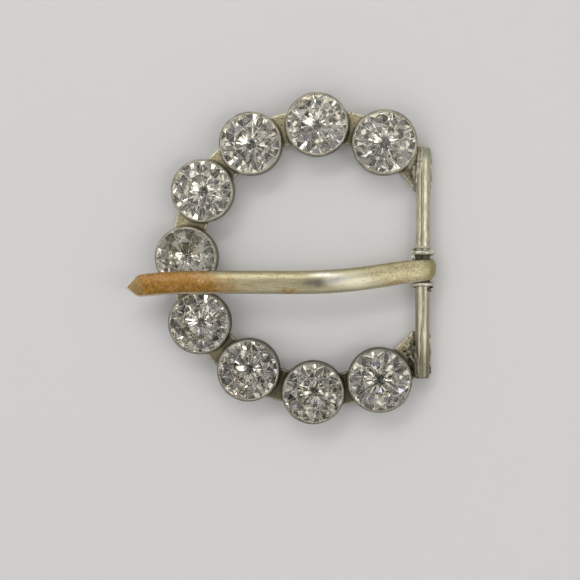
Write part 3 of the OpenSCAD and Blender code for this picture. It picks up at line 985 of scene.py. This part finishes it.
class BUCKLE_OT_cups(Operator):
    """Makes the nine cups that the stones are rubbed into"""

    bl_idname = "buckle.cups"
    bl_label = "Cups"

    AROUND = 128
    # Turn of each cup's dents from the one before it
    TURN = 2.4
    # In mm: how deep a cup is sunk in the strip, and the thickness of its floor
    SUNK = 0.1
    FLOOR = 0.3
    # The drawn corner under the wall, in mm: where it starts, in from the outside, and how wide
    # and high its round is. Points round it
    CORNER_START = 0.55
    CORNER_WIDE = 0.47
    CORNER_HIGH = 0.5
    CORNER_STEPS = 5
    # How far in from the outside, and how far down, the lip is rubbed bright
    RUBBED_IN = 0.34 * MM
    RUBBED_DOWN = 0.1 * MM
    # The wall, in mm: inset from its outside, height over the cup's foot
    WALL = ((0.03, 1.2), (0.015, 2.2), (0, 3.0), (0, 3.38))
    # The round lip, in mm: inset from the outside, drop from the rim's top
    ROUND_LIP = ((0.01, 0.3), (0.02, 0.2), (0.05, 0.1), (0.10, 0.035), (0.16, 0.005),
                 (0.22, 0.02), (0.27, 0.055), (0.31, 0.045), (0.36, 0.01), (0.40, 0.03))
    # Under the lip, in mm: out from the lip's edge, drop from the rim's top
    UNDER_LIP = ((0, 0.08), (0.04, 0.11))
    # Inside the wall, in mm: room round the stone, drop from the rim's top
    STONE_ROOM = ((0.02, 0.24), (0.04, 0.7))
    # The inner corner: its start over the floor, in mm, and its end, as a share of the stone
    INNER_START = 0.3
    INNER_END = 0.6

    def execute(self, context):
        sizes = size_settings()
        wall = sizes.cup_wall
        places = [stone_place(name) for name in STONES]
        usual = sorted(radius for _, radius in places)[len(places) // 2]
        pattern = new_piece("cup_pattern", skin("cup_pattern", self.rings(usual, sizes), True))
        mark(pattern.data, "rubbed", [
            float(vertex.co.xy.length < usual + wall - self.RUBBED_IN
                  and vertex.co.z > RIM_TOP - self.RUBBED_DOWN)
            for vertex in pattern.data.vertices])
        outward(pattern.data)
        seats = mesh_of("cup_seats", [(middle.x, middle.y, 0) for middle, _ in places])
        mark(seats, "widen", [(radius + wall) / (usual + wall) for _, radius in places])
        cups = grown("stone_cups", self.tree(), seats, 0.5, "cup_metal", {"Pattern": pattern})
        bpy.data.objects.remove(pattern)
        hand_over(cups, "frame", "frame_metal", "frame")
        return {"FINISHED"}

    def rings(self, radius, sizes):
        """Rings of a cup of a stone's radius: open floor, drawn corner, wall, lip and inside."""
        outer = (radius + sizes.cup_wall) / MM
        stone = radius / MM
        lip = stone - sizes.lip_cover / MM
        foot = sizes.strip_thick / MM - self.SUNK
        floor = foot + self.FLOOR
        rim = RIM_TOP / MM
        bottom = min(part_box(name)[0].z for name in STONES) - TIP_GAP
        hole, inner_hole = (tip_room(level * MM, bottom) / MM for level in (foot, floor))
        turns = [math.radians(90 * (k + 1) / self.CORNER_STEPS) for k in range(self.CORNER_STEPS)]
        profile = [
            (hole, foot), (outer / 2, foot), (outer - self.CORNER_START, foot),
            *[(outer - self.CORNER_HIGH + self.CORNER_WIDE * math.sin(turn),
               foot + self.CORNER_HIGH * (1 - math.cos(turn))) for turn in turns],
            *[(outer - inset, foot + rise) for inset, rise in self.WALL],
            *[(outer - inset, rim - drop) for inset, drop in self.ROUND_LIP],
            *[(lip + out, rim - drop) for out, drop in self.UNDER_LIP],
            *[(stone + room, rim - drop) for room, drop in self.STONE_ROOM],
            (stone + self.STONE_ROOM[-1][0], floor + self.INNER_START),
            (self.INNER_END * stone, floor), (inner_hole, floor)]
        return [circle((0, 0), reach * MM, height * MM, self.AROUND) for reach, height in profile]

    def tree(self):
        """The pattern cup set on each seat, widened for its stone and knocked a little uneven."""
        shape = Shape("Cups", Pattern="Object")
        pattern = shape.add("GeometryNodeObjectInfo", {}, {
            "Object": shape.take("Pattern")}, "Geometry")
        widen = shape.attribute("widen")
        turn = shape.add("GeometryNodeInputIndex") * self.TURN
        placed = shape.add("GeometryNodeInstanceOnPoints", {}, {
            "Points": shape.given, "Instance": pattern,
            "Rotation": shape.combine(0.0, 0.0, turn),
            "Scale": shape.combine(widen, widen, 1.0)})
        return shape.close(shape.roughen(shape.real(placed), 2.2))


class BUCKLE_OT_solder(Operator):
    """Runs solder along the joints of the bar, the plates and the cups beside them"""

    bl_idname = "buckle.solder"
    bl_label = "Solder"

    # One row for each run, from the bar's middle: two ends (across, along, height), bead, count
    RUNS = (
        ((-1.30, 12.9, 1.15), (-1.35, 19.3, 1.35), 0.36, 34),
        ((-1.50, 14.8, 1.60), (-1.35, 19.5, 2.30), 0.50, 30),
        ((-2.30, 16.6, 1.50), (-1.30, 19.3, 2.70), 0.50, 20),
        ((-2.90, 16.2, 1.15), (-2.30, 18.4, 1.80), 0.36, 16),
        ((-1.05, 17.4, 2.65), (-0.80, 19.5, 2.95), 0.36, 14),
        ((1.20, 13.2, 1.05), (1.25, 18.6, 1.10), 0.28, 26),
        ((-1.30, -12.0, 1.15), (-1.35, -16.2, 1.30), 0.36, 24),
        ((-1.55, -13.6, 1.30), (-1.45, -16.0, 1.75), 0.42, 16),
        ((-1.10, 13.2, 2.75), (-1.00, 17.0, 2.95), 0.24, 28),
        ((-0.95, 15.6, 3.00), (-0.80, 19.5, 3.15), 0.34, 22),
        ((-0.45, 17.6, 3.40), (-0.15, 19.5, 3.35), 0.27, 11),
        ((-1.15, -14.6, 2.75), (-1.05, -19.4, 2.98), 0.33, 26),
        ((-0.78, -16.6, 3.30), (-0.60, -19.5, 3.40), 0.32, 16),
        ((-1.95, -16.3, 2.10), (-1.95, -16.3, 2.20), 0.30, 2),
        ((-1.90, -16.45, 2.15), (-1.15, -17.5, 2.50), 0.11, 22),
        ((-1.10, -16.4, 1.60), (-1.15, -19.3, 1.80), 0.42, 18),
        ((-1.75, -19.2, 1.20), (-1.00, -19.6, 1.90), 0.36, 9),
        ((1.20, -12.6, 1.05), (1.30, -19.0, 1.10), 0.30, 28),
    )
    # The low swell round the bar above the upper collar: along, reach from the axis, bead, count
    SWELL = (2.83, 1.07, 0.30, 48)
    # The lobe where the swell ends: across, along, height, bead
    LOBE = (-1.54, 2.64, 2.5, 0.28)
    # How far a bead strays, its usual size and how far that varies, as shares of the given size
    STRAY = 0.4
    USUAL = 0.85
    VARYING = 0.5
    # Waves per mm of the stray and of the size, and how far the swell leans, in mm
    STRAY_WAVES = 1.9
    SIZE_WAVES = 2.3
    SWELL_LEAN = 0.06
    FINENESS = 0.07 * MM
    # Lumps of fewer points than this are bubbles inside the solder
    SMALLEST_LUMP = 60
    # The solder stays this far above the table
    LOWEST = 0.08 * MM

    def execute(self, context):
        foot = Vector((BAR_MIDDLE.x, BAR_MIDDLE.y, 0))
        beads = self.beads(size_settings().seed)
        seeds = mesh_of("solder_seeds", [foot + place * MM for place, _ in beads])
        mark(seeds, "bead", [bead * MM for _, bead in beads])
        solder = grown("solder_joints", self.tree(), seeds, 0.8, "solder",
                       {"Fineness": self.FINENESS})
        self.trim(solder.data)
        hand_over(solder, "frame", "frame_metal", "frame")
        return {"FINISHED"}

    def beads(self, seed):
        """Places and radii of all the beads, from the bar's middle on the table."""
        found = []
        for start, end, bead, count in self.RUNS:
            for k in range(count):
                place = Vector(start).lerp(Vector(end), k / (count - 1))
                stray = drift(place * self.STRAY_WAVES + Vector((0, 0, seed)))
                size = self.USUAL + self.VARYING * noise.noise(place * self.SIZE_WAVES)
                found.append((place + self.STRAY * bead * stray, bead * size))
        along, reach, bead, count = self.SWELL
        for k in range(count):
            turn = math.tau * k / count
            round_bar = Vector((2 * math.cos(turn), 2 * math.sin(turn), seed))
            lean = self.SWELL_LEAN * noise.noise(round_bar)
            found.append((Vector((reach * math.cos(turn), along + lean,
                                  BAR_MIDDLE.z / MM + reach * math.sin(turn))), bead))
        found.append((Vector(self.LOBE[:3]), self.LOBE[3]))
        return found

    @staticmethod
    def tree():
        """Beads melted together into one lumpy run."""
        shape = Shape("Solder", "Fineness")
        points = shape.add("GeometryNodeMeshToPoints", {}, {"Mesh": shape.given})
        volume = shape.add("GeometryNodePointsToVolume", {"resolution_mode": "VOXEL_SIZE"}, {
            "Points": points, "Voxel Size": shape.take("Fineness"),
            "Radius": shape.attribute("bead")})
        melted = shape.add("GeometryNodeVolumeToMesh", {"resolution_mode": "GRID"}, {
            "Volume": volume})
        return shape.close(shape.roughen(melted, 0.6))

    def trim(self, mesh):
        """Drops the bubbles that are caught inside the solder and keeps it above the table."""
        with edited(mesh) as work:
            bubbles = []
            for start in work.verts:
                if start.tag:
                    continue
                start.tag = True
                lump = [start]
                for vertex in lump:
                    for edge in vertex.link_edges:
                        other = edge.other_vert(vertex)
                        if not other.tag:
                            other.tag = True
                            lump.append(other)
                if len(lump) < self.SMALLEST_LUMP:
                    bubbles += lump
            bmesh.ops.delete(work, geom=bubbles, context="VERTS")
            for vertex in work.verts:
                vertex.co.z = max(vertex.co.z, self.LOWEST)


class BUCKLE_OT_collars(Operator):
    """Winds the two wire collars round the bar, one at each side of the tongue"""

    bl_idname = "buckle.collars"
    bl_label = "Wire collars"

    # Name, node, bearing of the first end, degrees wound, degrees before it leaves the tongue,
    # place along the bar, wire, direction, lean of the turns towards level
    WINDINGS = (
        ("upper_wire", "collar_upper", 200, 400, 0, 1.30, 0.90, 1, 0.23),
        ("lower_wire", "collar_lower", -30, 435, 140, -3.56, 0.74, -1.06, 0.0),
    )
    BAR_GAP = 0.04 * MM
    TURN_GAP = 0.02 * MM
    # Turn over which the lean grows from nothing
    LEAN_TURN = math.radians(160)
    ALONG_WIRE = 150
    ROUND_WIRE = 20
    # The section's radius, as a share of the wire's thickness
    SECTION = 0.49

    def execute(self, context):
        tree = self.tree()
        for name, node, first, wound, hold, start, thick, way, lean in self.WINDINGS:
            wire = thick * MM
            collar = grown(name, tree, mesh_of("wire_start", [BAR_MIDDLE]), 0.35, "wire_metal", {
                "Wire": wire, "Coil Radius": BAR_RADIUS + self.BAR_GAP + wire / 2,
                "First": math.radians(first), "Wound": math.radians(wound),
                "Hold": math.radians(hold), "Start": BAR_MIDDLE.y + start * MM,
                "Advance": way * (wire + self.TURN_GAP) * wound / 360, "Lean": lean * MM})
            outward(collar.data)
            smooth_but_sharp(collar.data, 50)
            hand_over(collar, "frame", "wire", node)
        return {"FINISHED"}

    def tree(self):
        """Round wire along a helix about the bar's axis, with its ends cut square."""
        shape = Shape("Wire collar", "Wire", "Coil Radius", "First", "Wound", "Hold", "Start",
                      "Advance", "Lean")
        line = shape.add("GeometryNodeCurvePrimitiveLine")
        drawn = shape.add("GeometryNodeResampleCurve", {}, {
            "Curve": line, "Count": self.ALONG_WIRE})
        wound, hold, reach = (shape.take(label) for label in ("Wound", "Hold", "Coil Radius"))
        turned = wound * shape.add("GeometryNodeSplineParameter", out="Factor")
        angle = shape.take("First") + turned
        sideways = shape.math("COSINE", angle)
        grown_lean = shape.math("MINIMUM", turned / self.LEAN_TURN, 1.0)
        lean = shape.take("Lean") * sideways * grown_lean
        past = shape.math("MAXIMUM", turned - hold, 0.0) / (wound - hold)
        helix = shape.moved(drawn, "Position", shape.combine(
            BAR_MIDDLE.x + reach * sideways,
            shape.take("Start") + shape.take("Advance") * past + lean,
            BAR_MIDDLE.z + reach * shape.math("SINE", angle)))
        section = shape.add("GeometryNodeCurvePrimitiveCircle", {}, {
            "Resolution": self.ROUND_WIRE, "Radius": shape.take("Wire") * self.SECTION})
        tube = shape.add("GeometryNodeCurveToMesh", {}, {
            "Curve": helix, "Profile Curve": section, "Fill Caps": True})
        return shape.close(shape.roughen(tube, 0.9))


class BUCKLE_OT_stones(Operator):
    """Makes the nine cut stones, clear in front and silvered behind"""

    bl_idname = "buckle.stones"
    bl_label = "Stones"

    # How broken up the back facets of each stone look, beside the usual one
    BROKEN = (1.25, 1.0, 1.0, 1.0, 1.3, 0.8, 0.4, 0.5, 0.5)
    # Share of the small back facets, on the side away from the tongue, that show pale filler
    FLAKED = {"stone_5": 0.24}
    # Height of the normal of a facet that counts as facing the front, or the back if negative
    FRONT = 0.2
    # The girdle's facets have less than the first, either way, and the table more than the second
    GIRDLE = 0.1
    TABLE = 0.99
    # Points closer than this are merged, and facets that turn less than this are made one
    MERGED = 0.002 * MM
    ONE_FACET = math.radians(0.5)
    # Sizes of the waves that the corners stray by, of those behind, and of the chance patches
    STRAY_SIZE = 0.37 * MM
    BACK_SIZE = 0.29 * MM
    PATCH_SIZE = 0.15 * MM
    # Cuts across each edge behind, which make the small facets
    CUTS = 3
    # Shares of the facets' stray: how far corners sink, and how far the cuts behind are pushed
    SINKING = 0.4
    PUSH = 0.5
    VARYING = 0.9

    def execute(self, context):
        sizes = size_settings()
        for name, broken in zip(STONES, self.BROKEN):
            mesh = frame["nodes"][name].data.copy()
            mesh.materials.clear()
            for part in ("clear_paste", "foil_back", "rubbed_edges"):
                mesh.materials.append(finish(part))
            with edited(mesh) as work:
                bmesh.ops.remove_doubles(work, verts=work.verts, dist=self.MERGED)
                bmesh.ops.dissolve_limit(work, angle_limit=self.ONE_FACET, verts=work.verts,
                                         edges=work.edges)
                self.stray(work, sizes, broken)
                crown = [edge for edge in work.edges
                         if all(face.normal.z > self.FRONT for face in edge.link_faces)]
                for face in work.faces:
                    face.smooth = False
                    face.material_index = 0 if face.normal.z > self.FRONT else 1
                rubbed = bmesh.ops.bevel(work, geom=crown, offset=sizes.edge_wear / 2,
                                         segments=1, affect="EDGES", clamp_overlap=True)
                for face in rubbed["faces"]:
                    face.material_index = 2
            self.mark_facets(name, mesh, sizes.seed)
            hand_over(new_piece(f"paste_{name}", mesh), "frame", "paste", name)
        return {"FINISHED"}

    def mark_facets(self, name, mesh, seed):
        """Gives every facet a chance tone, and marks those that have lost their silver."""
        middle = sum(corner.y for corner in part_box(name)) / 2
        share = self.FLAKED.get(name, 0.0)
        places = [face.center / self.PATCH_SIZE + Vector((0, 0, seed)) for face in mesh.polygons]
        mark(mesh, "tone", [noise.cell(place) for place in places], "FACE")
        mark(mesh, "flaked", [
            float(face.center.y > middle
                  and 0.5 + 0.5 * noise.cell(place + Vector((3, 5, 2))) < share)
            for face, place in zip(mesh.polygons, places)], "FACE")

    def stray(self, work, sizes, broken):
        """Moves the corners inside the girdle a little, as on a stone cut by hand."""
        away = Vector((0, 0, sizes.seed))
        work.normal_update()
        girdle = {vertex for face in work.faces if abs(face.normal.z) < self.GIRDLE
                  for vertex in face.verts}
        for vertex in work.verts:
            if vertex not in girdle:
                shift = drift(vertex.co / self.STRAY_SIZE + away)
                shift.z = self.SINKING * min(0.0, shift.z)
                vertex.co += shift * sizes.facet_stray
        bmesh.ops.triangulate(work, faces=[face for face in work.faces
                                           if face.normal.z < self.TABLE
                                           and len(face.verts) > 3])
        work.normal_update()
        behind = {face for face in work.faces if face.normal.z < -self.FRONT}
        inside = [edge for edge in work.edges if behind.issuperset(edge.link_faces)]
        old = set(work.verts)
        bmesh.ops.subdivide_edges(work, edges=inside, cuts=self.CUTS, use_grid_fill=True)
        for vertex in set(work.verts) - old:
            shift = noise.noise(vertex.co / self.BACK_SIZE + away)
            push = self.PUSH + self.VARYING * shift
            vertex.co.z += push * sizes.facet_stray * broken


class BUCKLE_OT_tongue(Operator):
    """Makes the half-round tongue, bent round the bar at one end and pointed at the other"""

    bl_idname = "buckle.tongue"
    bl_label = "Tongue"

    # Steps over the dome, round the loop, along the read shank, along its rings and the point
    DOME_STEPS = 28
    LOOP_STEPS = 84
    READ_STEPS = 90
    SHANK_STEPS = 190
    POINT_STEPS = 24
    # Height of the upright sides, as a share of the thickness
    SIDE_HEIGHT = 0.28
    # Bearings round the bar's axis at which the loop ends under the shank and meets its top
    LOOP_END = 159
    LOOP_TOP = 441.3
    CLEAR_OF_LOOP = 3.2 * MM
    CORNER = 0.1 * MM
    BEVEL_SLOPE = 0.6
    POINT_LENGTH = 2.5 * MM
    # The CAD tongue is read up to this far from its tip, and its slices are used up to twice that
    SHORT_OF_TIP = 0.01 * MM
    # Lengths in mm: where the point starts before its shoulder, and over which its bevel grows
    # and its thickness falls. Share of the thickness that is lost
    POINT_START = 0.25
    BEVEL_GROWTH = 2.2
    THINNING = 2.5
    THINNED = 0.12
    # How far the loop's lower side draws in, over how many degrees either side of a bearing
    DRAWN_IN = 0.75 * MM
    DRAWN_SPAN = 85
    DRAWN_AT = 378
    # Painted highlight over the first points of the dome: a pale line along the shank's lower edge
    LOWER_EDGE_HIGHLIGHT = (0.2, 0.4, 0.6, 0.6, 0.45, 0.2)
    # Wear of the flat sides, and of the loop as a share of the shank's
    SIDE_WEAR = 0.4
    LOOP_WEAR = 0.6
    # Sizes in mm of the slow waves, by direction, and of the small dents
    SLOW_WAVES = (3.5, 2.5, 2.5)
    DENTS = 0.7
    # Shares of the unevenness that the waves and the dents reach, and that the surface lies in
    SLOW = 0.8
    QUICK = 0.25
    LAID_IN = 0.45

    def execute(self, context):
        sizes = size_settings()
        low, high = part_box("tongue")
        self.read_loop(high)
        self.slices = self.read_slices(low.x)
        rings = self.loop_rings() + self.shank_rings(low.x, sizes)
        mesh = skin("half_round_tongue", [[point for point, _ in ring] for ring in rings])
        # The worn marks also hold the painted highlight along the lower edge
        mark(mesh, "worn", [wear for ring in rings for _, wear in ring])
        flat = (0, len(rings[0]) - 1)
        mark(mesh, "under", [float(k in flat) for ring in rings for k in range(len(ring))])
        outward(mesh)
        self.knock_about(mesh, sizes)
        smooth_but_sharp(mesh, 38)
        mesh.materials.append(finish("pale_tongue_metal"))
        hand_over(new_piece("half_round_tongue", mesh), "tongue", "tongue_metal", "tongue")
        return {"FINISHED"}

    def read_loop(self, high):
        """Reads the loop's inner radius, thickness, middle and width from the CAD tongue."""
        points = [vertex.co for vertex in frame["nodes"]["tongue"].data.vertices]
        self.inner = min(math.hypot(point.x - BAR_MIDDLE.x, point.z - BAR_MIDDLE.z)
                         for point in points)
        self.thick = high.x - BAR_MIDDLE.x - self.inner
        ys = [point.y for point in points if point.x > BAR_MIDDLE.x + MM]
        self.middle = (min(ys) + max(ys)) / 2
        self.width = max(ys) - min(ys)

    def read_slices(self, tip_x):
        """Middle, width, underside and thickness of the CAD tongue at steps along its shank."""
        mesh = frame["nodes"]["tongue"].data
        edges = [(mesh.vertices[a].co, mesh.vertices[b].co)
                 for a, b in (edge.vertices for edge in mesh.edges)]
        slices = []
        start_x = BAR_MIDDLE.x - self.CLEAR_OF_LOOP
        for k in range(self.READ_STEPS + 1):
            x = start_x + (tip_x + self.SHORT_OF_TIP - start_x) * k / self.READ_STEPS
            cut = [a.lerp(b, (x - a.x) / (b.x - a.x)) for a, b in edges
                   if (a.x - x) * (b.x - x) < 0]
            ys = [point.y for point in cut]
            zs = [point.z for point in cut]
            slices.append((x, (min(ys) + max(ys)) / 2, max(ys) - min(ys), min(zs),
                           max(zs) - min(zs)))
        return slices

    def slice_at(self, x):
        """Middle, width, underside and thickness of the shank at a place across."""
        first = self.slices[0]
        if x >= first[0]:
            angle = math.radians(self.LOOP_TOP)
            root = (BAR_MIDDLE.x + self.inner * math.cos(angle), self.middle, self.width,
                    BAR_MIDDLE.z + self.inner * math.sin(angle), self.thick)
            return self.between(root, first, x)
        for one, two in zip(self.slices, self.slices[1:]):
            if x >= two[0]:
                return self.between(one, two, x)
        return list(self.slices[-1][1:])

    @staticmethod
    def between(one, two, x):
        """The slice at a place between two others."""
        share = (x - one[0]) / (two[0] - one[0])
        return [a + (b - a) * share for a, b in zip(one[1:], two[1:])]

    def section(self, width, thick, half=None, bevel=0.0):
        """Points over the section, with wear and the painted highlight along the lower edge: across, up. A half
        width cuts the sides off.
        """
        half = width / 2 if half is None else half
        side = thick * self.SIDE_HEIGHT
        corner = self.CORNER * min(1, half / MM)

        def dome(across):
            return side + (thick - side) * math.sqrt(max(0.0, 1 - (2 * across / width) ** 2))

        points = [((half - corner, 0), 0.0), ((half, self.CORNER), self.SIDE_WEAR)]
        for k in range(self.DOME_STEPS + 1):
            across = half * math.cos(math.pi * k / self.DOME_STEPS)
            up = dome(across)
            wear = self.LOWER_EDGE_HIGHLIGHT[k] if k < len(self.LOWER_EDGE_HIGHLIGHT) else 0.0
            to_dome = bevel - (half - abs(across))
            if bevel and to_dome > 0:
                cut = dome(max(0.0, half - bevel)) - to_dome * self.BEVEL_SLOPE
                wear = 1.0 if cut < up else wear
                up = min(up, cut)
            points.append(((across, up), wear))
        points += [((-half, self.CORNER), self.SIDE_WEAR), ((-half + corner, 0), 0.0)]
        return points

    def loop_rings(self):
        """Rings of the loop, from its cut end under the shank, round the bar to its top."""
        rings = []
        for k in range(self.LOOP_STEPS + 1):
            bearing = self.LOOP_END + (self.LOOP_TOP - self.LOOP_END) * k / self.LOOP_STEPS
            angle = math.radians(bearing)
            up = Vector((math.cos(angle), 0, math.sin(angle)))
            past = bearing - self.DRAWN_AT
            span = self.DRAWN_SPAN
            if past > 0:
                span = min(span, self.LOOP_TOP - self.DRAWN_AT)
            drawn = self.DRAWN_IN * max(0.0, 1 - abs(past) / span) ** 1.5
            inner = Vector((BAR_MIDDLE.x, self.middle + drawn / 2, BAR_MIDDLE.z))
            rings.append([
                (inner + up * (self.inner + rise) - Vector((0, across, 0)), wear * self.LOOP_WEAR)
                for (across, rise), wear in self.section(self.width - drawn, self.thick)])
        return rings

    def shank_rings(self, tip_x, sizes):
        """Rings of the shank from the loop out to the point."""
        shoulder = tip_x + self.POINT_LENGTH
        start = BAR_MIDDLE.x - 0.1 * MM
        stops = [start + (shoulder - start) * k / self.SHANK_STEPS
                 for k in range(self.SHANK_STEPS)]
        stops += [shoulder + (tip_x - shoulder) * k / self.POINT_STEPS
                  for k in range(self.POINT_STEPS + 1)]
        rings = []
        _, full, _, full_thick = self.slice_at(shoulder)
        for x in stops:
            middle, width, under, thick = self.slice_at(max(x, tip_x + 2 * self.SHORT_OF_TIP))
            into_point = max(0.0, (shoulder + self.POINT_START * MM - x) / MM)
            if into_point > 0:
                bevel = sizes.point_bevel * min(1, into_point / self.BEVEL_GROWTH)
                thinned = self.THINNED * min(1, into_point / self.THINNING)
                points = self.section(full, full_thick * (1 - thinned), width / 2, bevel)
            else:
                points = self.section(width, thick)
            rings.append([(Vector((x, middle - across, under + rise)), wear)
                          for (across, rise), wear in points])
        return rings

    def knock_about(self, mesh, sizes):
        """Gives the worked metal its slow waves and small dents."""
        wide, deep, tall = self.SLOW_WAVES
        moved = []
        for vertex in mesh.vertices:
            place = vertex.co / MM
            slow = noise.noise(Vector((place.x / wide, place.y / deep,
                                       place.z / tall + sizes.seed)))
            quick = noise.noise(place / self.DENTS)
            share = self.SLOW * slow + self.QUICK * quick - self.LAID_IN
            moved.append(vertex.normal * sizes.unevenness * share)
        for vertex, move in zip(mesh.vertices, moved):
            vertex.co += move


class BUCKLE_OT_stage(Operator):
    """Sets up the camera, the lamps, the plain floor and the air round them"""

    bl_idname = "buckle.stage"
    bl_label = "Stage"

    AIM = Vector((1.53, -5.407, 2.5)) * MM
    # Half the floor's width, and how far it lies under the buckle
    FLOOR_HALF = 1.2
    FLOOR_DROP = 0.02 * MM
    # Name, bearing, height angle, distance, width, depth, power, colour
    LAMPS = (
        ("window", 112, 50, 0.42, 0.30, 0.09, 0.26, (1.0, 0.98, 0.95)),
        ("right_panel", -8, 52, 0.34, 0.07, 0.20, 0.10, (1.0, 0.98, 0.95)),
        ("left_panel", 195, 55, 0.34, 0.03, 0.20, 0.045, (0.98, 0.99, 1.0)),
        ("front_strip", -80, 45, 0.34, 0.22, 0.03, 0.035, (1.0, 0.98, 0.96)),
    )
    # Brightness of the dimmest panes, then for brighter ones where they start and what they add
    DIM = 0.165
    PANES = ((0.25, 0.28), (0.55, 0.34), (0.88, 1.25))
    PANE_SCALE = 9.5
    # Brightness of the plain haze that takes over from the panes near the floor
    HAZE = 0.6

    def execute(self, context):
        stage = context.scene.buckle_stage
        self.camera(stage)
        self.floor()
        self.air()
        for lamp in self.LAMPS:
            self.lamp(stage, *lamp)
        context.scene.view_settings.view_transform = "Standard"
        context.scene.cycles.glossy_bounces = 12
        return {"FINISHED"}

    def camera(self, stage):
        """The camera leans a little off the upright, as the photograph was taken."""
        lean = math.sin(stage.tilt)
        back = Vector((lean * math.cos(stage.bearing), lean * math.sin(stage.bearing),
                       math.cos(stage.tilt)))
        right = Vector((0, 1, 0)).cross(back).normalized()
        turn = Matrix((right, back.cross(right), back)).transposed()
        data = bpy.data.cameras.new("camera")
        data.lens = stage.lens
        data.sensor_width = 36
        data.clip_start = 5 * MM
        bpy.context.scene.camera = self.placed(data, self.AIM + back * stage.distance, turn)

    def floor(self):
        """A wide plain floor just under the buckle."""
        half, level = self.FLOOR_HALF, -self.FLOOR_DROP
        mesh = mesh_of("floor", [(-half, -half, level), (half, -half, level),
                                 (half, half, level), (-half, half, level)], [(0, 1, 2, 3)])
        mesh.materials.append(finish("floor"))
        new_piece("floor", mesh)

    def air(self):
        """A tent of soft panes, some bright and some dim, darker overhead and near the floor."""
        world = bpy.data.worlds.new("air")
        world.use_nodes = True
        recipe = Recipe(world.node_tree)
        way = recipe.add("ShaderNodeTexCoord", out="Generated")
        _, north, height = recipe.split(way)
        pane = recipe.add("ShaderNodeTexVoronoi", {"feature": "F1"}, {
            "Vector": way, "Scale": self.PANE_SCALE}, "Color")
        pick = recipe.add("ShaderNodeSeparateColor", {}, {"Color": pane}, "Red")
        tone = self.DIM
        for share, added in self.PANES:
            tone = tone + added * recipe.step(pick, share, share + 0.01)
        tone = tone + recipe.step(height, 0.30, 0.14) * (self.HAZE - tone)
        overhead = 1 - 0.5 * recipe.step(height, 0.87, 0.96)
        low = 0.55 + 0.45 * recipe.step(height, 0.05, 0.4)
        # Some of the brightest panes are tinted, yellow or blue
        blue_side = recipe.step(pick.also("Blue"), 0.5, 0.51)
        tinted = recipe.step(pick.also("Green"), 0.7, 0.71) * recipe.step(pick, 0.86, 0.87)
        tint = recipe.add("ShaderNodeCombineColor", {"mode": "HSV"}, {
            "Red": 0.13 + 0.56 * blue_side, "Green": (0.15 + 0.17 * blue_side) * tinted,
            "Blue": 1.0})
        light = recipe.add("ShaderNodeBackground", {}, {
            "Color": tint, "Strength": tone * overhead * low * (1 + 0.25 * north)})
        recipe.add("ShaderNodeOutputWorld", {}, {"Surface": light})
        bpy.context.scene.world = world

    def lamp(self, stage, name, bearing, height, distance, width, depth, power, tint):
        """A rectangular lamp that looks at the buckle."""
        data = bpy.data.lights.new(name, "AREA")
        data.shape = "RECTANGLE"
        data.size = width
        data.size_y = depth
        data.energy = power * stage.brightness
        data.color = tint
        flat = math.cos(math.radians(height))
        way = Vector((flat * math.cos(math.radians(bearing)),
                      flat * math.sin(math.radians(bearing)), math.sin(math.radians(height))))
        self.placed(data, self.AIM + way * distance, way.to_track_quat("Z", "Y").to_matrix())

    @staticmethod
    def placed(data, place, turn):
        """A camera or a lamp at a place, turned."""
        thing = bpy.data.objects.new(data.name, data)
        thing.matrix_world = Matrix.Translation(place) @ turn.to_4x4()
        bpy.context.collection.objects.link(thing)
        return thing


class BUCKLE_PT_pieces(Panel):
    """Lists the buckle's pieces and what can be changed on them"""

    bl_idname = "BUCKLE_PT_pieces"
    bl_label = "Dress buckle"
    bl_space_type = "VIEW_3D"
    bl_region_type = "UI"
    bl_category = "Buckle"

    def draw(self, context):
        for operator in OPERATORS:
            self.layout.operator(operator.bl_idname)
        for group in (context.scene.buckle_sizes, context.scene.buckle_colours,
                      context.scene.buckle_stage):
            box = self.layout.box()
            for name in group.__annotations__:
                box.prop(group, name)


OPERATORS = (BUCKLE_OT_stage, BUCKLE_OT_strip, BUCKLE_OT_bar, BUCKLE_OT_cups, BUCKLE_OT_solder,
             BUCKLE_OT_collars, BUCKLE_OT_stones, BUCKLE_OT_tongue)
CLASSES = (BuckleSizes, BuckleColours, BuckleStage, *OPERATORS, BUCKLE_PT_pieces)


def register():
    for each in CLASSES:
        bpy.utils.register_class(each)
    bpy.types.Scene.buckle_sizes = PointerProperty(type=BuckleSizes)
    bpy.types.Scene.buckle_colours = PointerProperty(type=BuckleColours)
    bpy.types.Scene.buckle_stage = PointerProperty(type=BuckleStage)


def unregister():
    del bpy.types.Scene.buckle_stage
    del bpy.types.Scene.buckle_colours
    del bpy.types.Scene.buckle_sizes
    for each in reversed(CLASSES):
        bpy.utils.unregister_class(each)


def main():
    """Makes the whole buckle."""
    register()
    bpy.ops.buckle.stage()
    bpy.ops.buckle.strip()
    bpy.ops.buckle.bar()
    bpy.ops.buckle.cups()
    bpy.ops.buckle.solder()
    bpy.ops.buckle.collars()
    bpy.ops.buckle.stones()
    bpy.ops.buckle.tongue()


if __name__ == "__main__":
    main()
